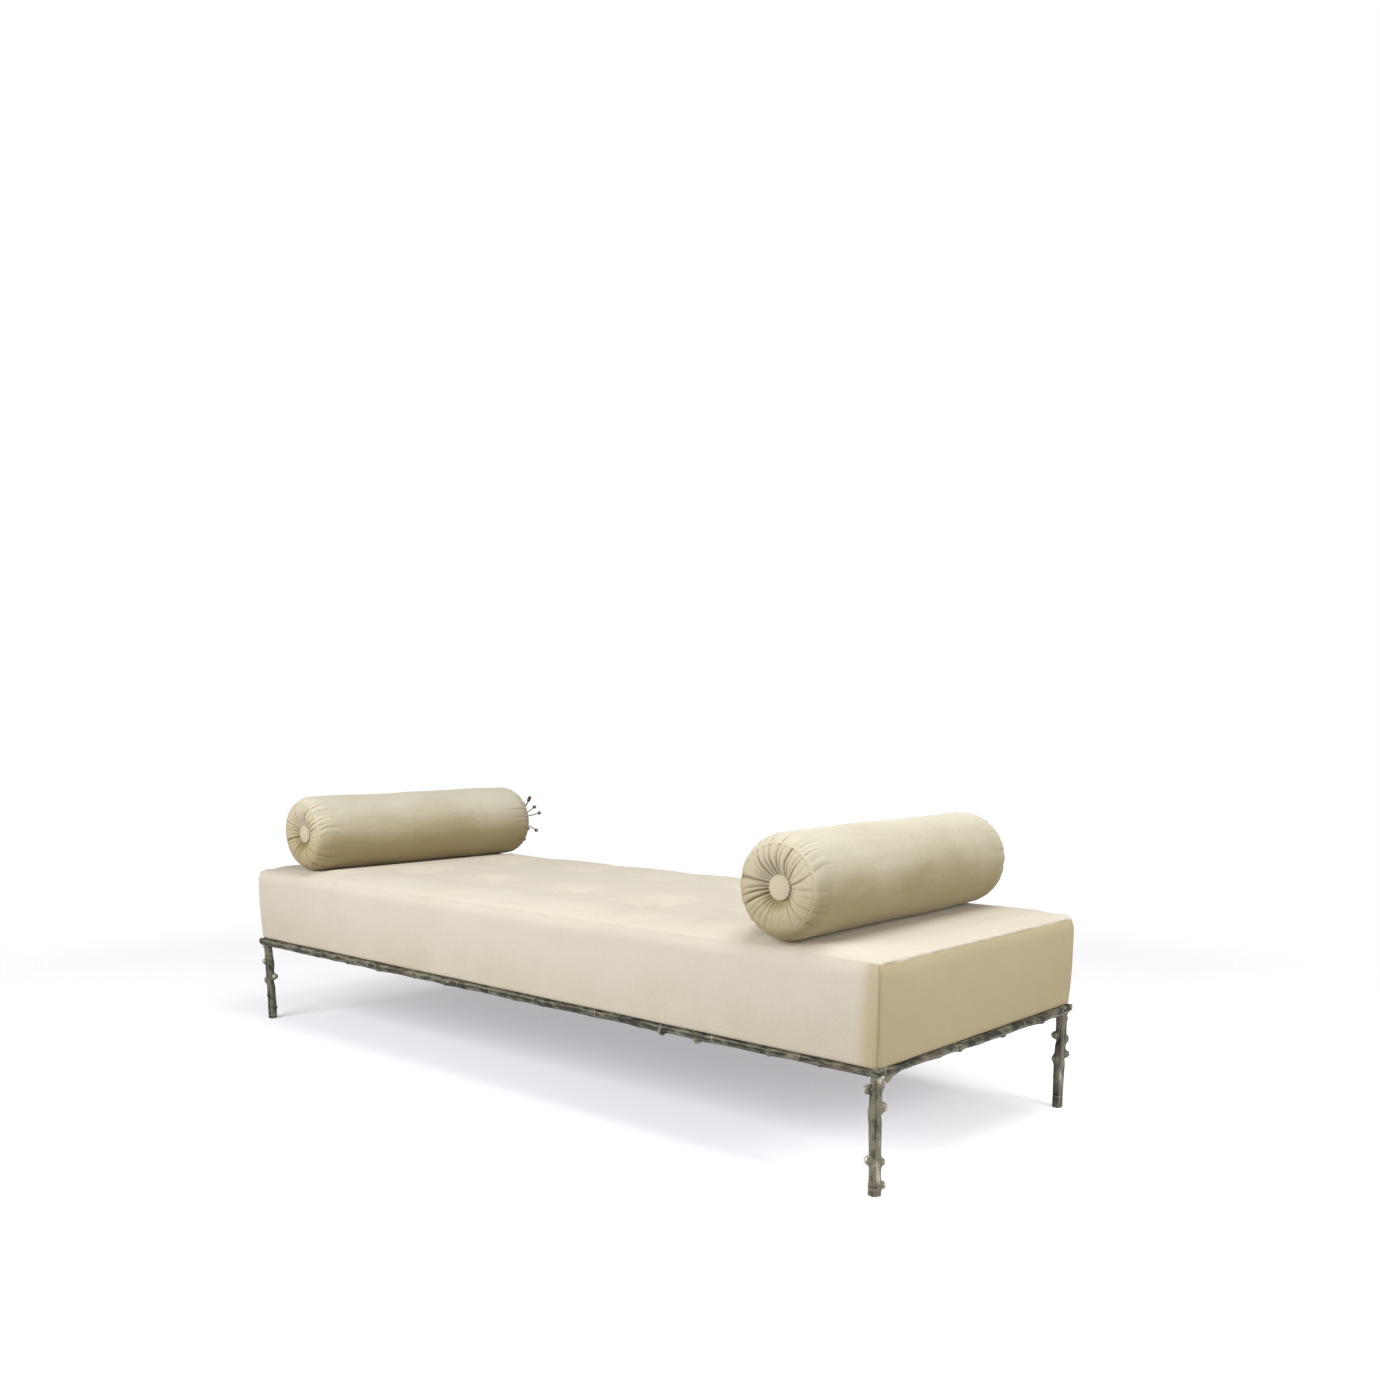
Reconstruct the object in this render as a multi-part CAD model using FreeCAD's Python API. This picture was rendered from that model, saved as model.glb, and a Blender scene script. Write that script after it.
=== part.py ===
import FreeCAD, Part
import math
import os

Vector = FreeCAD.Vector

# Backless divan: a cast twig frame, an upholstered tufted seat on it, and two loose round bolsters.
# Millimetres. X runs along the front, Y to the back, Z up. The origin is on the floor, under the
# middle of the whole object, which is a little behind the middle of the seat.
origin_behind_seat = 15.0

# The seat from outside
seat_length = 2140.0
seat_depth = 757.0
rail_top = 240.0
seam_height = 430.0
crown_rise = 17.0
crown_run = 100.0
seat_corner_radius = 28.0
side_draw_in = 5.0

# Cloth and padding
cover_thickness = 1.5
dust_cover_thickness = 0.8
dust_cover_inset = 16.0
hem_past_wood = 7.0

# Tufts of the seat
tuft_columns = 5
tuft_rows = 2
tuft_pitch = 305.0
tuft_depth = 9.0
tuft_radius = 62.0
twine_radius = 0.8
twine_clearance = 0.2
toggle_radius = 11.0
toggle_thickness = 3.0

# Wooden seat frame
wood_inset = 14.0
wood_thickness = 25.0
wood_height = 60.0
deck_thickness = 9.0
slat_width = 45.0
slat_height = 35.0
corner_block_leg = 70.0
corner_block_height = 50.0

# Cast twigs of the base
rail_radius = 8.6
rail_inset = 2.6
shadow_gap = 0.8
rail_overhang = 6.0
side_rail_short = 3.0
weld_gap = 0.1
leg_radius = 11.8
leg_inset = 9.1
leg_wander = 1.4
twig_station_step = 70.0
knot_reach = 12.0
knot_spread = 9.0
glide_radius = 8.0
glide_thickness = 3.0
glide_standing = 1.5

# Steel ledge inside the twigs, and the screws that hold the seat down
weld_bite = 1.7
ledge_past_wood = 0.5
ledge_drop = 18.0
steel_thickness = 3.0
ledge_end_gap = 25.0
cross_bar_width = 30.0
cross_bar_count = 3
screw_radius = 2.0
screw_clearance = 0.3
pilot_clearance = 0.1
screw_bite = 22.0
screw_head_radius = 4.5
screw_head_height = 2.5
long_side_screws = 6
short_side_screws = 2

# Bolsters
bolster_radius = 103.0
bolster_length = 760.0
bolster_shoulder = 48.0
bolster_seam_radius = 83.0
bolster_seam_depth = 9.0
bolster_rim_radius = 70.0
rim_roll = 11.0
button_radius = 25.0
button_sunk = 21.0
button_edge = 3.0
button_height = 10.0
gather_thickness = 5.0
pleat_count = 28
pleat_groove_radius = 1.6
pleat_end_share = 0.12
bolster_tie_radius = 1.2
bolster_rest_gap = 0.3
left_bolster_from_end = 217.0
left_bolster_back = 15.0
left_bolster_turn = 0.0
right_bolster_from_end = 240.0
right_bolster_back = -18.0
right_bolster_turn = 2.4

# Berry spray on the far end of the left bolster
berry_radius = 5.8
stem_radius = 1.4
hub_radius = 17.0
hub_edge = 4.0
hub_height = 9.0
stem_ring_radius = 8.0

# Places that follow from the sizes
half_length = seat_length / 2
half_depth = seat_depth / 2
seat_bottom = rail_top + dust_cover_thickness
wood_bottom = seat_bottom + cover_thickness
wood_top = wood_bottom + wood_height
deck_top = wood_top + deck_thickness
crown_top = seam_height + crown_rise
wood_x = half_length - wood_inset
wood_y = half_depth - wood_inset
rail_line = rail_top - shadow_gap - rail_radius
ledge_inset = rail_inset + rail_radius - weld_bite
ledge_width = wood_inset + wood_thickness + ledge_past_wood - ledge_inset
through = 1.0
bolster_half = bolster_length / 2
bolster_axis_height = crown_top + bolster_rest_gap + bolster_radius


def save(name, *solids):
    """Write one node: its solids, moved so that the origin is under the middle of the object."""
    shape = solids[0] if len(solids) == 1 else Part.makeCompound(list(solids))
    shape = shape.copy()
    shape.translate(Vector(0, -origin_behind_seat, 0))
    shape.exportStep(os.path.join("parts", name + ".step"))
    print(f"{name}: {len(shape.Solids)} solid, {shape.Volume / 1000:.1f} cm3, valid {shape.isValid()}")


def box(low, high):
    """A block between two corners."""
    size = Vector(*high) - Vector(*low)
    return Part.makeBox(size.x, size.y, size.z, Vector(*low))


def rod(radius, start, end):
    """A round bar from one point to another."""
    run = end - start
    return Part.makeCylinder(radius, run.Length, start, run)


def rounded_outline(half_x, half_y, radius, z):
    """A level rectangle with round corners, as four quarter arcs and four lines."""
    corners = []
    for turn, (side_x, side_y) in enumerate(((1, -1), (1, 1), (-1, 1), (-1, -1))):
        centre = Vector(side_x * (half_x - radius), side_y * (half_y - radius), z)
        points = []
        for part in (0.0, 0.5, 1.0):
            angle = math.radians(90 * (turn - 1 + part))
            points.append(centre + Vector(radius * math.cos(angle), radius * math.sin(angle), 0))
        corners.append(points)
    edges = []
    for corner, following in zip(corners, corners[1:] + corners[:1]):
        edges.append(Part.Arc(*corner).toShape())
        edges.append(Part.LineSegment(corner[2], following[0]).toShape())
    return Part.Wire(edges)


def side_inset(z):
    """How far the seat's side has drawn in at a height: most at the bottom, nothing at the seam."""
    share = (seam_height - z) / (seam_height - seat_bottom)
    return side_draw_in * share**2


def seat_sides(inset, low, high):
    """The seat's body below the seam, between two heights, all round smaller by the inset."""
    outlines = []
    for z in (low, (low + high) / 2, high):
        drawn = inset + side_inset(z)
        radius = seat_corner_radius - drawn
        outlines.append(rounded_outline(half_length - drawn, half_depth - drawn, radius, z))
    return Part.makeLoft(outlines, True, False)


def rounded_slab(inset, low, high):
    """A plain block of the seat's plan, all round smaller by the inset, with concentric corners."""
    radius = max(seat_corner_radius - inset, through)
    outline = rounded_outline(half_length - inset, half_depth - inset, radius, low)
    return Part.Face(outline).extrude(Vector(0, 0, high - low))


def tuft_places():
    """The tuft points as x, y over the seat, column by column."""
    places = []
    for column in range(tuft_columns):
        for row in range(tuft_rows):
            x = (column - (tuft_columns - 1) / 2) * tuft_pitch
            y = (row - (tuft_rows - 1) / 2) * tuft_pitch
            places.append((x, y))
    return places


def twine_holes(low, high):
    """A hole for the twine at every tuft, through whatever lies between two heights."""
    holes = []
    for x, y in tuft_places():
        start = Vector(x, y, low - through)
        holes.append(rod(twine_radius + twine_clearance, start, Vector(x, y, high + through)))
    return Part.makeCompound(holes)


def seat_crown(inset):
    """The crowned top above the seam with its tufts drawn in, all round smaller by the inset."""
    outlines = []
    for share in (0.0, 0.06, 0.2, 0.45, 0.75, 1.0):
        run = inset + share * crown_run
        rise = (crown_rise - inset) * math.sin(share * math.pi / 2) ** 0.8
        radius = seat_corner_radius - inset + 0.3 * share * crown_run
        outlines.append(rounded_outline(half_length - run, half_depth - run, radius, seam_height + rise))
    crown = Part.makeLoft(outlines, True, False)
    ball_radius = (tuft_radius**2 + tuft_depth**2) / (2 * tuft_depth)
    ball_height = crown_top - inset - tuft_depth + ball_radius
    for x, y in tuft_places():
        crown = crown.cut(Part.makeSphere(ball_radius, Vector(x, y, ball_height)))
    return crown


def make_seat_softs():
    """The foam, the padding on the frame's sides, the two panels of the cover, and the dust cover."""
    inner_crown = seat_crown(cover_thickness)
    foam = inner_crown.fuse(seat_sides(cover_thickness, deck_top, seam_height)).removeSplitter()
    save("seat_foam", foam.cut(twine_holes(deck_top, crown_top)))

    padding = seat_sides(cover_thickness, wood_bottom, deck_top)
    padding = padding.cut(rounded_slab(wood_inset, wood_bottom - through, deck_top + through))
    past = half_length + half_depth
    for name, low, high in (
        ("side_pad_front", (-past, -past), (past, -wood_y)),
        ("side_pad_back", (-past, wood_y), (past, past)),
        ("side_pad_left", (-past, -wood_y), (0, wood_y)),
        ("side_pad_right", (0, -wood_y), (past, wood_y)),
    ):
        save(name, padding.common(box((*low, 0), (*high, crown_top))))

    save("seat_cover_top", seat_crown(0.0).cut(inner_crown))

    band = seat_sides(0.0, seat_bottom, seam_height)
    band = band.cut(seat_sides(cover_thickness, wood_bottom, seam_height))
    open_x = wood_x - wood_thickness - hem_past_wood
    open_y = wood_y - wood_thickness - hem_past_wood
    band = band.cut(box((-open_x, -open_y, seat_bottom - through), (open_x, open_y, wood_bottom + through)))
    save("seat_cover_band", band.cut(screw_holes(screw_radius + screw_clearance)))

    dust = rounded_slab(dust_cover_inset, rail_top, seat_bottom)
    save("dust_cover", dust.cut(screw_holes(screw_radius + screw_clearance)))


def make_seat_frame():
    """The wooden frame in the seat: four rails, slats between them, corner blocks and the deck."""
    inner_x = wood_x - wood_thickness
    inner_y = wood_y - wood_thickness
    block = rounded_slab(wood_inset, wood_bottom, wood_top).cut(screw_holes(screw_radius + pilot_clearance))
    for name, low, high in (
        ("seat_rail_front", (-wood_x, -wood_y), (wood_x, -inner_y)),
        ("seat_rail_back", (-wood_x, inner_y), (wood_x, wood_y)),
        ("seat_rail_left", (-wood_x, -inner_y), (-inner_x, inner_y)),
        ("seat_rail_right", (inner_x, -inner_y), (wood_x, inner_y)),
    ):
        save(name, block.common(box((*low, wood_bottom), (*high, wood_top))))

    for number in range(tuft_columns + 1):
        x = (number - tuft_columns / 2) * tuft_pitch
        low = (x - slat_width / 2, -inner_y, wood_top - slat_height)
        save(f"seat_slat_{number + 1}", box(low, (x + slat_width / 2, inner_y, wood_top)))

    blocks = []
    for side_x in (-1, 1):
        for side_y in (-1, 1):
            corner = Vector(side_x * inner_x, side_y * inner_y, wood_top - corner_block_height)
            along_x = corner - Vector(side_x * corner_block_leg, 0, 0)
            along_y = corner - Vector(0, side_y * corner_block_leg, 0)
            face = Part.Face(Part.makePolygon([corner, along_x, along_y, corner]))
            blocks.append(face.extrude(Vector(0, 0, corner_block_height)))
    save("corner_blocks", *blocks)

    deck = rounded_slab(wood_inset, wood_top, deck_top)
    save("deck_board", deck.cut(twine_holes(wood_top, deck_top)))


def make_tuft_ties():
    """A twine through the foam and deck at every tuft, and the toggle that holds it below."""
    twines = []
    toggles = []
    toggle_bottom = wood_top - toggle_thickness
    stitch = crown_top - tuft_depth - cover_thickness
    holes = twine_holes(toggle_bottom, wood_top)
    for x, y in tuft_places():
        twines.append(rod(twine_radius, Vector(x, y, toggle_bottom), Vector(x, y, stitch)))
        toggles.append(rod(toggle_radius, Vector(x, y, toggle_bottom), Vector(x, y, wood_top)).cut(holes))
    save("tuft_twines", *twines)
    save("tuft_toggles", *toggles)


def screw_places():
    """The seat screws as x, y: along the middle of the wooden rails, over the steel ledges."""
    line_x = wood_x - wood_thickness / 2
    line_y = wood_y - wood_thickness / 2
    places = []
    for number in range(long_side_screws):
        x = line_x * (2 * (number + 0.5) / long_side_screws - 1)
        places += [(x, -line_y), (x, line_y)]
    for number in range(short_side_screws):
        y = line_y * (2 * (number + 0.5) / short_side_screws - 1)
        places += [(-line_x, y), (line_x, y)]
    return places


def screw_holes(radius):
    """One bore for every seat screw, from below the ledge up to the screw's point."""
    top = wood_bottom + screw_bite
    bores = []
    for x, y in screw_places():
        bores.append(rod(radius, Vector(x, y, rail_top - steel_thickness - through), Vector(x, y, top)))
    return Part.makeCompound(bores)


def twig(stations, along):
    """A cast branch: straight tapers between a circle at every station of centre and radius."""
    circles = []
    for centre, radius in stations:
        circles.append(Part.Wire(Part.makeCircle(radius, centre, along)))
    return Part.makeLoft(circles, True, True)


def knot_swelling(place, knots):
    """How much the knots swell a twig's radius at a place along it."""
    swelling = 0.0
    for knot, size in knots:
        swelling += size * math.exp(-(((place - knot) / knot_spread) ** 2))
    return swelling


def station_places(reach, knots):
    """Where a twig of a half length gets its circles: evenly, and three at every knot."""
    steps = round(2 * reach / twig_station_step)
    places = [reach * (2 * number / steps - 1) for number in range(1, steps)]
    near = 0.75 * knot_reach
    for knot, _ in knots:
        places = [place for place in places if abs(place - knot) > 2 * near]
    for knot, _ in knots:
        places += [knot - knot_reach, knot, knot + knot_reach]
    return sorted(places)


def rail_stations(reach, start_radius, end_radius, phase, knots):
    """Place, sideways sway and radius along a rail, between its two ends."""
    stations = []
    for place in station_places(reach - 2 * rail_radius, knots):
        share = (place / reach + 1) / 2
        radius = start_radius + (end_radius - start_radius) * share + knot_swelling(place, knots)
        sway = 0.9 * math.sin(place / 97 + phase) + 0.6 * math.sin(place / 41 + 2 * phase)
        stations.append((place, sway, radius))
    return stations


def with_ends(stations, reach, start_radius, end_radius, rounded):
    """Add a rail's two ends: rounded over where they show, plain where they go into another rail."""
    shape = ((0.0, 0.45), (0.3, 0.8), (0.9, 1.0)) if rounded else ((0.0, 1.0),)
    first = [(-reach + back * start_radius, stations[0][1], size * start_radius) for back, size in shape]
    last = [(reach - back * end_radius, stations[-1][1], size * end_radius) for back, size in shape]
    return first + stations + last[::-1]


# Knots as share of the rail's half length from its middle, and extra radius. The hidden back and left
# rails repeat the two seen ones turned round.
front_knots = (
    (-0.79, 1.2), (-0.715, 1.6), (-0.63, 1.4), (-0.578, 1.8), (-0.445, 2.2), (-0.3, 1.4), (-0.18, 2.0),
    (-0.115, 1.2), (0.06, 1.6), (0.155, 1.4), (0.3, 1.2), (0.435, 1.4), (0.5, 2.8), (0.593, 3.2),
    (0.765, 1.6), (0.875, 1.8),
)
side_knots = ((-0.45, 1.6), (-0.25, 2.2), (-0.057, 1.6), (0.2, 2.4), (0.652, 2.6), (0.84, 1.8))


def rail(reach, side, lengthwise, start_share, end_share, phase, knot_shares):
    """A twig rail under an edge of the seat, and its circles. Its top is level, so knots swell down."""
    edge = (half_depth if lengthwise else half_length) - rail_inset
    knots = [(share * reach, size) for share, size in knot_shares]
    start_radius = start_share * rail_radius
    end_radius = end_share * rail_radius
    between = rail_stations(reach, start_radius, end_radius, phase, knots)
    stations = []
    for place, sway, radius in with_ends(between, reach, start_radius, end_radius, lengthwise):
        across = side * (edge + sway + (radius - rail_radius) * 0.5)
        height = rail_top - shadow_gap - max(radius, 0.75 * rail_radius)
        centre = Vector(place, across, height) if lengthwise else Vector(across, place, height)
        stations.append((centre, radius))
    return twig(stations, Vector(1, 0, 0) if lengthwise else Vector(0, 1, 0)), stations


def end_bar(circle):
    """A plain bar a weld's gap thicker than a long rail at its end, to cope a side rail against."""
    centre, radius = circle
    past = Vector(4 * rail_radius, 0, 0)
    return rod(radius + weld_gap, centre - past, centre + past)


# Buds as share of the leg's height, turn round it in degrees from +X, how far they stand out, and radius
front_right_buds = (
    (0.87, 222, 9.0, 9.0), (0.72, 42, 8.0, 12.0), (0.29, 222, 6.5, 10.0), (0.27, 50, 3.0, 8.0),
    (0.08, 42, 6.0, 8.5),
)
back_right_buds = ((0.89, 42, 3.5, 8.0), (0.72, 222, 7.5, 9.5), (0.53, 42, 7.0, 9.0), (0.3, 250, 3.0, 8.0))
front_left_buds = ((0.73, 222, 7.0, 9.0), (0.53, 42, 8.0, 10.0), (0.29, 222, 3.5, 8.0), (0.13, 60, 3.0, 8.0))
back_left_buds = ((0.82, 130, 7.5, 9.5), (0.57, 310, 7.0, 9.5), (0.36, 110, 5.0, 9.0), (0.1, 290, 4.5, 8.5))


def leg(side_x, side_y, lean, phase, buds):
    """One twig leg with its buds, bored below for its glide. Lean is how far its foot is off in X, Y."""
    top = rail_line
    foot = glide_standing
    stations = []
    steps = 8
    for number in range(steps + 1):
        height = foot + (top - foot) * number / steps
        down = 1 - number / steps
        radius = leg_radius * (1 + 0.05 * math.sin(height / 21 + phase))
        x = side_x * (half_length - leg_inset) + lean[0] * down
        y = side_y * (half_depth - leg_inset) + lean[1] * down
        x += leg_wander * math.sin(height / 37 + phase)
        y += leg_wander * math.sin(height / 43 + 2 * phase)
        stations.append((Vector(x, y, height), radius))
    shape = twig(stations, Vector(0, 0, 1))
    for share, turn, standing, radius in buds:
        height = foot + share * (top - foot)
        lower = stations[min(int(share * steps), steps - 1)][0]
        out = Vector(math.cos(math.radians(turn)), math.sin(math.radians(turn)), 0)
        centre = Vector(lower.x, lower.y, height) + out * (leg_radius + standing - radius)
        shape = shape.fuse(Part.makeSphere(radius, centre))
    foot_centre = stations[0][0]
    recess = Part.makeCylinder(glide_radius, glide_thickness - glide_standing, foot_centre)
    return shape.cut(recess), Vector(foot_centre.x, foot_centre.y, 0)


def make_base():
    """The twig frame: four rails, four legs coped under them, and a glide in every foot."""
    reach_x = half_length + rail_overhang
    reach_y = half_depth - rail_inset - side_rail_short
    turned_front = tuple((-place, size) for place, size in reversed(front_knots))
    turned_side = tuple((-place, size) for place, size in reversed(side_knots))
    front, front_circles = rail(reach_x, -1, True, 1.2, 0.84, 0.4, front_knots)
    back, back_circles = rail(reach_x, 1, True, 0.94, 1.12, 1.9, turned_front)
    left, _ = rail(reach_y, -1, False, 1.0, 1.1, 2.6, turned_side)
    right, _ = rail(reach_y, 1, False, 0.86, 1.14, 0.9, side_knots)
    left = left.cut([end_bar(front_circles[2]), end_bar(back_circles[2])])
    right = right.cut([end_bar(front_circles[-3]), end_bar(back_circles[-3])])
    rails = [front, back, left, right]
    for name, shape in zip(("front", "back", "left", "right"), rails):
        save("rail_" + name, keep_largest(shape))
    glides = []
    for name, side_x, side_y, lean, phase, buds in (
        ("leg_front_left", -1, -1, (3.0, 2.0), 0.2, front_left_buds),
        ("leg_front_right", 1, -1, (1.5, 0.5), 1.1, front_right_buds),
        ("leg_back_left", -1, 1, (2.0, -1.5), 2.3, back_left_buds),
        ("leg_back_right", 1, 1, (-3.0, -2.0), 3.4, back_right_buds),
    ):
        shape, foot = leg(side_x, side_y, lean, phase, buds)
        save(name, keep_largest(shape.cut(rails)))
        glides.append(rod(glide_radius, foot, foot + Vector(0, 0, glide_thickness)))
    save("foot_glides", *glides)
    return rails


def keep_largest(shape):
    """The main solid of a cut, without the shavings that a coped end leaves."""
    return max(shape.Solids, key=lambda solid: solid.Volume)


def ledge(length, side, lengthwise):
    """A steel angle: its flange stands against the twig rail, its ledge carries the wooden frame."""
    edge = (half_depth if lengthwise else half_length) - ledge_inset
    low = rail_top - ledge_drop
    shelf = rail_top - steel_thickness
    profile = (
        (0, low), (0, rail_top), (ledge_width, rail_top),
        (ledge_width, shelf), (steel_thickness, shelf), (steel_thickness, low), (0, low),
    )
    points = []
    for inward, z in profile:
        across = side * (edge - inward)
        points.append(Vector(-length / 2, across, z) if lengthwise else Vector(across, -length / 2, z))
    run = Vector(length, 0, 0) if lengthwise else Vector(0, length, 0)
    return Part.Face(Part.makePolygon(points)).extrude(run)


def make_ledges(rails):
    """Four steel ledges inside the twigs, flat bars across between the long two, and the screws."""
    long_run = seat_length - 2 * ledge_end_gap
    between = seat_depth - 2 * (ledge_inset + ledge_width)
    bores = screw_holes(screw_radius + screw_clearance)
    for name, length, side, lengthwise, beside in (
        ("ledge_front", long_run, -1, True, rails[0]),
        ("ledge_back", long_run, 1, True, rails[1]),
        ("ledge_left", between, -1, False, rails[2]),
        ("ledge_right", between, 1, False, rails[3]),
    ):
        save(name, keep_largest(ledge(length, side, lengthwise).cut(beside).cut(bores)))
    for number in range(cross_bar_count):
        x = seat_length * ((number + 1) / (cross_bar_count + 1) - 0.5)
        low = (x - cross_bar_width / 2, -between / 2, rail_top - steel_thickness)
        save(f"cross_bar_{number + 1}", box(low, (x + cross_bar_width / 2, between / 2, rail_top)))
    screws = []
    under = rail_top - steel_thickness
    for x, y in screw_places():
        head = rod(screw_head_radius, Vector(x, y, under - screw_head_height), Vector(x, y, under))
        shank = rod(screw_radius, Vector(x, y, under), Vector(x, y, wood_bottom + screw_bite))
        screws.append(head.fuse(shank).removeSplitter())
    save("seat_screws", *screws)


def arc(*points):
    """An arc through three points given as radius and place along the bolster."""
    return Part.Arc(*[Vector(radius, along, 0) for radius, along in points]).toShape()


def line(start, end):
    """A straight edge between two points given as radius and place along the bolster."""
    return Part.LineSegment(Vector(*start, 0), Vector(*end, 0)).toShape()


def turned(edges):
    """The solid that a closed outline makes when it is turned round the bolster's axis."""
    face = Part.Face(Part.Wire(Part.__sortEdges__(edges)))
    return face.revolve(Vector(0, 0, 0), Vector(0, 1, 0), 360)


def shoulder(inset, side):
    """The round edge from the barrel in to the end's seam, as three points."""
    end = bolster_half - inset
    start = (bolster_radius - inset, side * (end - bolster_shoulder))
    drop = 0.26 * (bolster_radius - bolster_seam_radius)
    middle = (bolster_radius - inset - drop, side * (end - 0.56 * bolster_shoulder))
    return start, middle, (bolster_seam_radius, side * (end - bolster_seam_depth))


def end_face(inset):
    """The gathered end as four points: its seam, its rim, where the rim's arc ends, the button's edge."""
    end = bolster_half - inset
    seam = (bolster_seam_radius, end - bolster_seam_depth)
    rim = (bolster_rim_radius, end)
    slope = (bolster_rim_radius - rim_roll, end - bolster_seam_depth / 2)
    return seam, rim, slope, (button_radius, end - button_sunk)


def bolster_barrel():
    """The barrel's cloth tube, from seam to seam."""
    edges = []
    ends = []
    for inset in (0.0, cover_thickness):
        for side in (-1, 1):
            edges.append(arc(*shoulder(inset, side)))
        edges.append(line(shoulder(inset, -1)[0], shoulder(inset, 1)[0]))
        ends.append((shoulder(inset, -1)[2], shoulder(inset, 1)[2]))
    edges.append(line(ends[0][0], ends[1][0]))
    edges.append(line(ends[0][1], ends[1][1]))
    return turned(edges)


def bolster_end():
    """A gathered end: thick folded cloth with a groove between every two pleats, and a hole for the tie."""
    hole = bolster_tie_radius + twine_clearance
    edges = []
    for inset in (0.0, gather_thickness):
        seam, rim, slope, foot = end_face(inset)
        edges += [arc(seam, rim, slope), line(slope, foot), line(foot, (hole, foot[1]))]
    outer = end_face(0.0)
    inner = end_face(gather_thickness)
    edges.append(line(outer[0], inner[0]))
    edges.append(line((hole, outer[3][1]), (hole, inner[3][1])))
    gathered = turned(edges)
    grooves = []
    foot = Vector(*outer[3], 0)
    slope = Vector(*outer[2], 0) - foot
    start = foot + slope * pleat_end_share
    end = foot + slope * (1 + pleat_end_share)
    for number in range(pleat_count):
        groove = rod(pleat_groove_radius, start, end)
        groove.rotate(Vector(0, 0, 0), Vector(0, 1, 0), 360 * number / pleat_count)
        grooves.append(groove)
    return gathered.cut(Part.makeCompound(grooves))


def bolster_core():
    """The filling: it fits the barrel cloth and the thick ends, and lets the tie through."""
    hole = bolster_tie_radius + twine_clearance
    edges = [line(shoulder(cover_thickness, -1)[0], shoulder(cover_thickness, 1)[0])]
    for side in (-1, 1):
        inner = [(radius, side * along) for radius, along in end_face(gather_thickness)]
        edge = shoulder(cover_thickness, side)
        edges += [arc(*edge), line(edge[2], inner[0]), arc(*inner[0:3]), line(*inner[2:4])]
        edges.append(line(inner[3], (hole, inner[3][1])))
    far = bolster_half - gather_thickness - button_sunk
    edges.append(line((hole, -far), (hole, far)))
    return turned(edges)


def domed_disc(radius, edge, height):
    """A button or hub on the bolster's end: a low round edge and a domed face."""
    base = bolster_half - button_sunk
    shoulder_at = (radius, base + edge)
    rise = height - edge
    ball_radius = (radius**2 + rise**2) / (2 * rise)
    half_angle = math.asin(radius / ball_radius) / 2
    middle_drop = ball_radius * (1 - math.cos(half_angle))
    middle = (ball_radius * math.sin(half_angle), base + height - middle_drop)
    edges = [line((0, base), (radius, base)), line((radius, base), shoulder_at)]
    edges.append(arc(shoulder_at, middle, (0, base + height)))
    edges.append(line((0, base + height), (0, base)))
    return turned(edges)


def place_bolster(shape, x, y, turn, from_back=False):
    """Move a bolster's piece from its own axes to its place on the seat."""
    shape = shape.copy()
    if from_back:
        shape.rotate(Vector(0, 0, 0), Vector(0, 0, 1), 180)
    shape.rotate(Vector(0, 0, 0), Vector(0, 0, 1), turn)
    shape.translate(Vector(x, y, bolster_axis_height))
    return shape


def make_bolsters():
    """Both bolsters. The left one carries the berry spray in place of its far button."""
    barrel = bolster_barrel()
    end = bolster_end()
    core = bolster_core()
    button = domed_disc(button_radius, button_edge, button_height)
    far = bolster_half - button_sunk
    tie = rod(bolster_tie_radius, Vector(0, -far, 0), Vector(0, far, 0))
    for side, x, y, turn in (
        ("left", -half_length + left_bolster_from_end, left_bolster_back, left_bolster_turn),
        ("right", half_length - right_bolster_from_end, right_bolster_back, right_bolster_turn),
    ):
        save(f"{side}_bolster_barrel", place_bolster(barrel, x, y, turn))
        save(f"{side}_bolster_core", place_bolster(core, x, y, turn))
        save(f"{side}_bolster_tie", place_bolster(tie, x, y, turn))
        save(f"{side}_bolster_end_front", place_bolster(end, x, y, turn, True))
        save(f"{side}_bolster_end_back", place_bolster(end, x, y, turn))
        save(f"{side}_bolster_button_front", place_bolster(button, x, y, turn, True))
        if side == "right":
            save("right_bolster_button_back", place_bolster(button, x, y, turn))


# Berries as place beside and above the bolster's axis, and how far they stand behind its rim
berries = (
    (58, 70, 22), (44, 62, 30), (36, 50, 14), (75, 42, 26), (104, 25, 20), (52, -26, 18), (79, -31, 28),
    (-12, 78, 20), (-58, 58, 28), (-92, 18, 22), (-66, -30, 30), (-28, -66, 18), (22, -62, 26),
)


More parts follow.
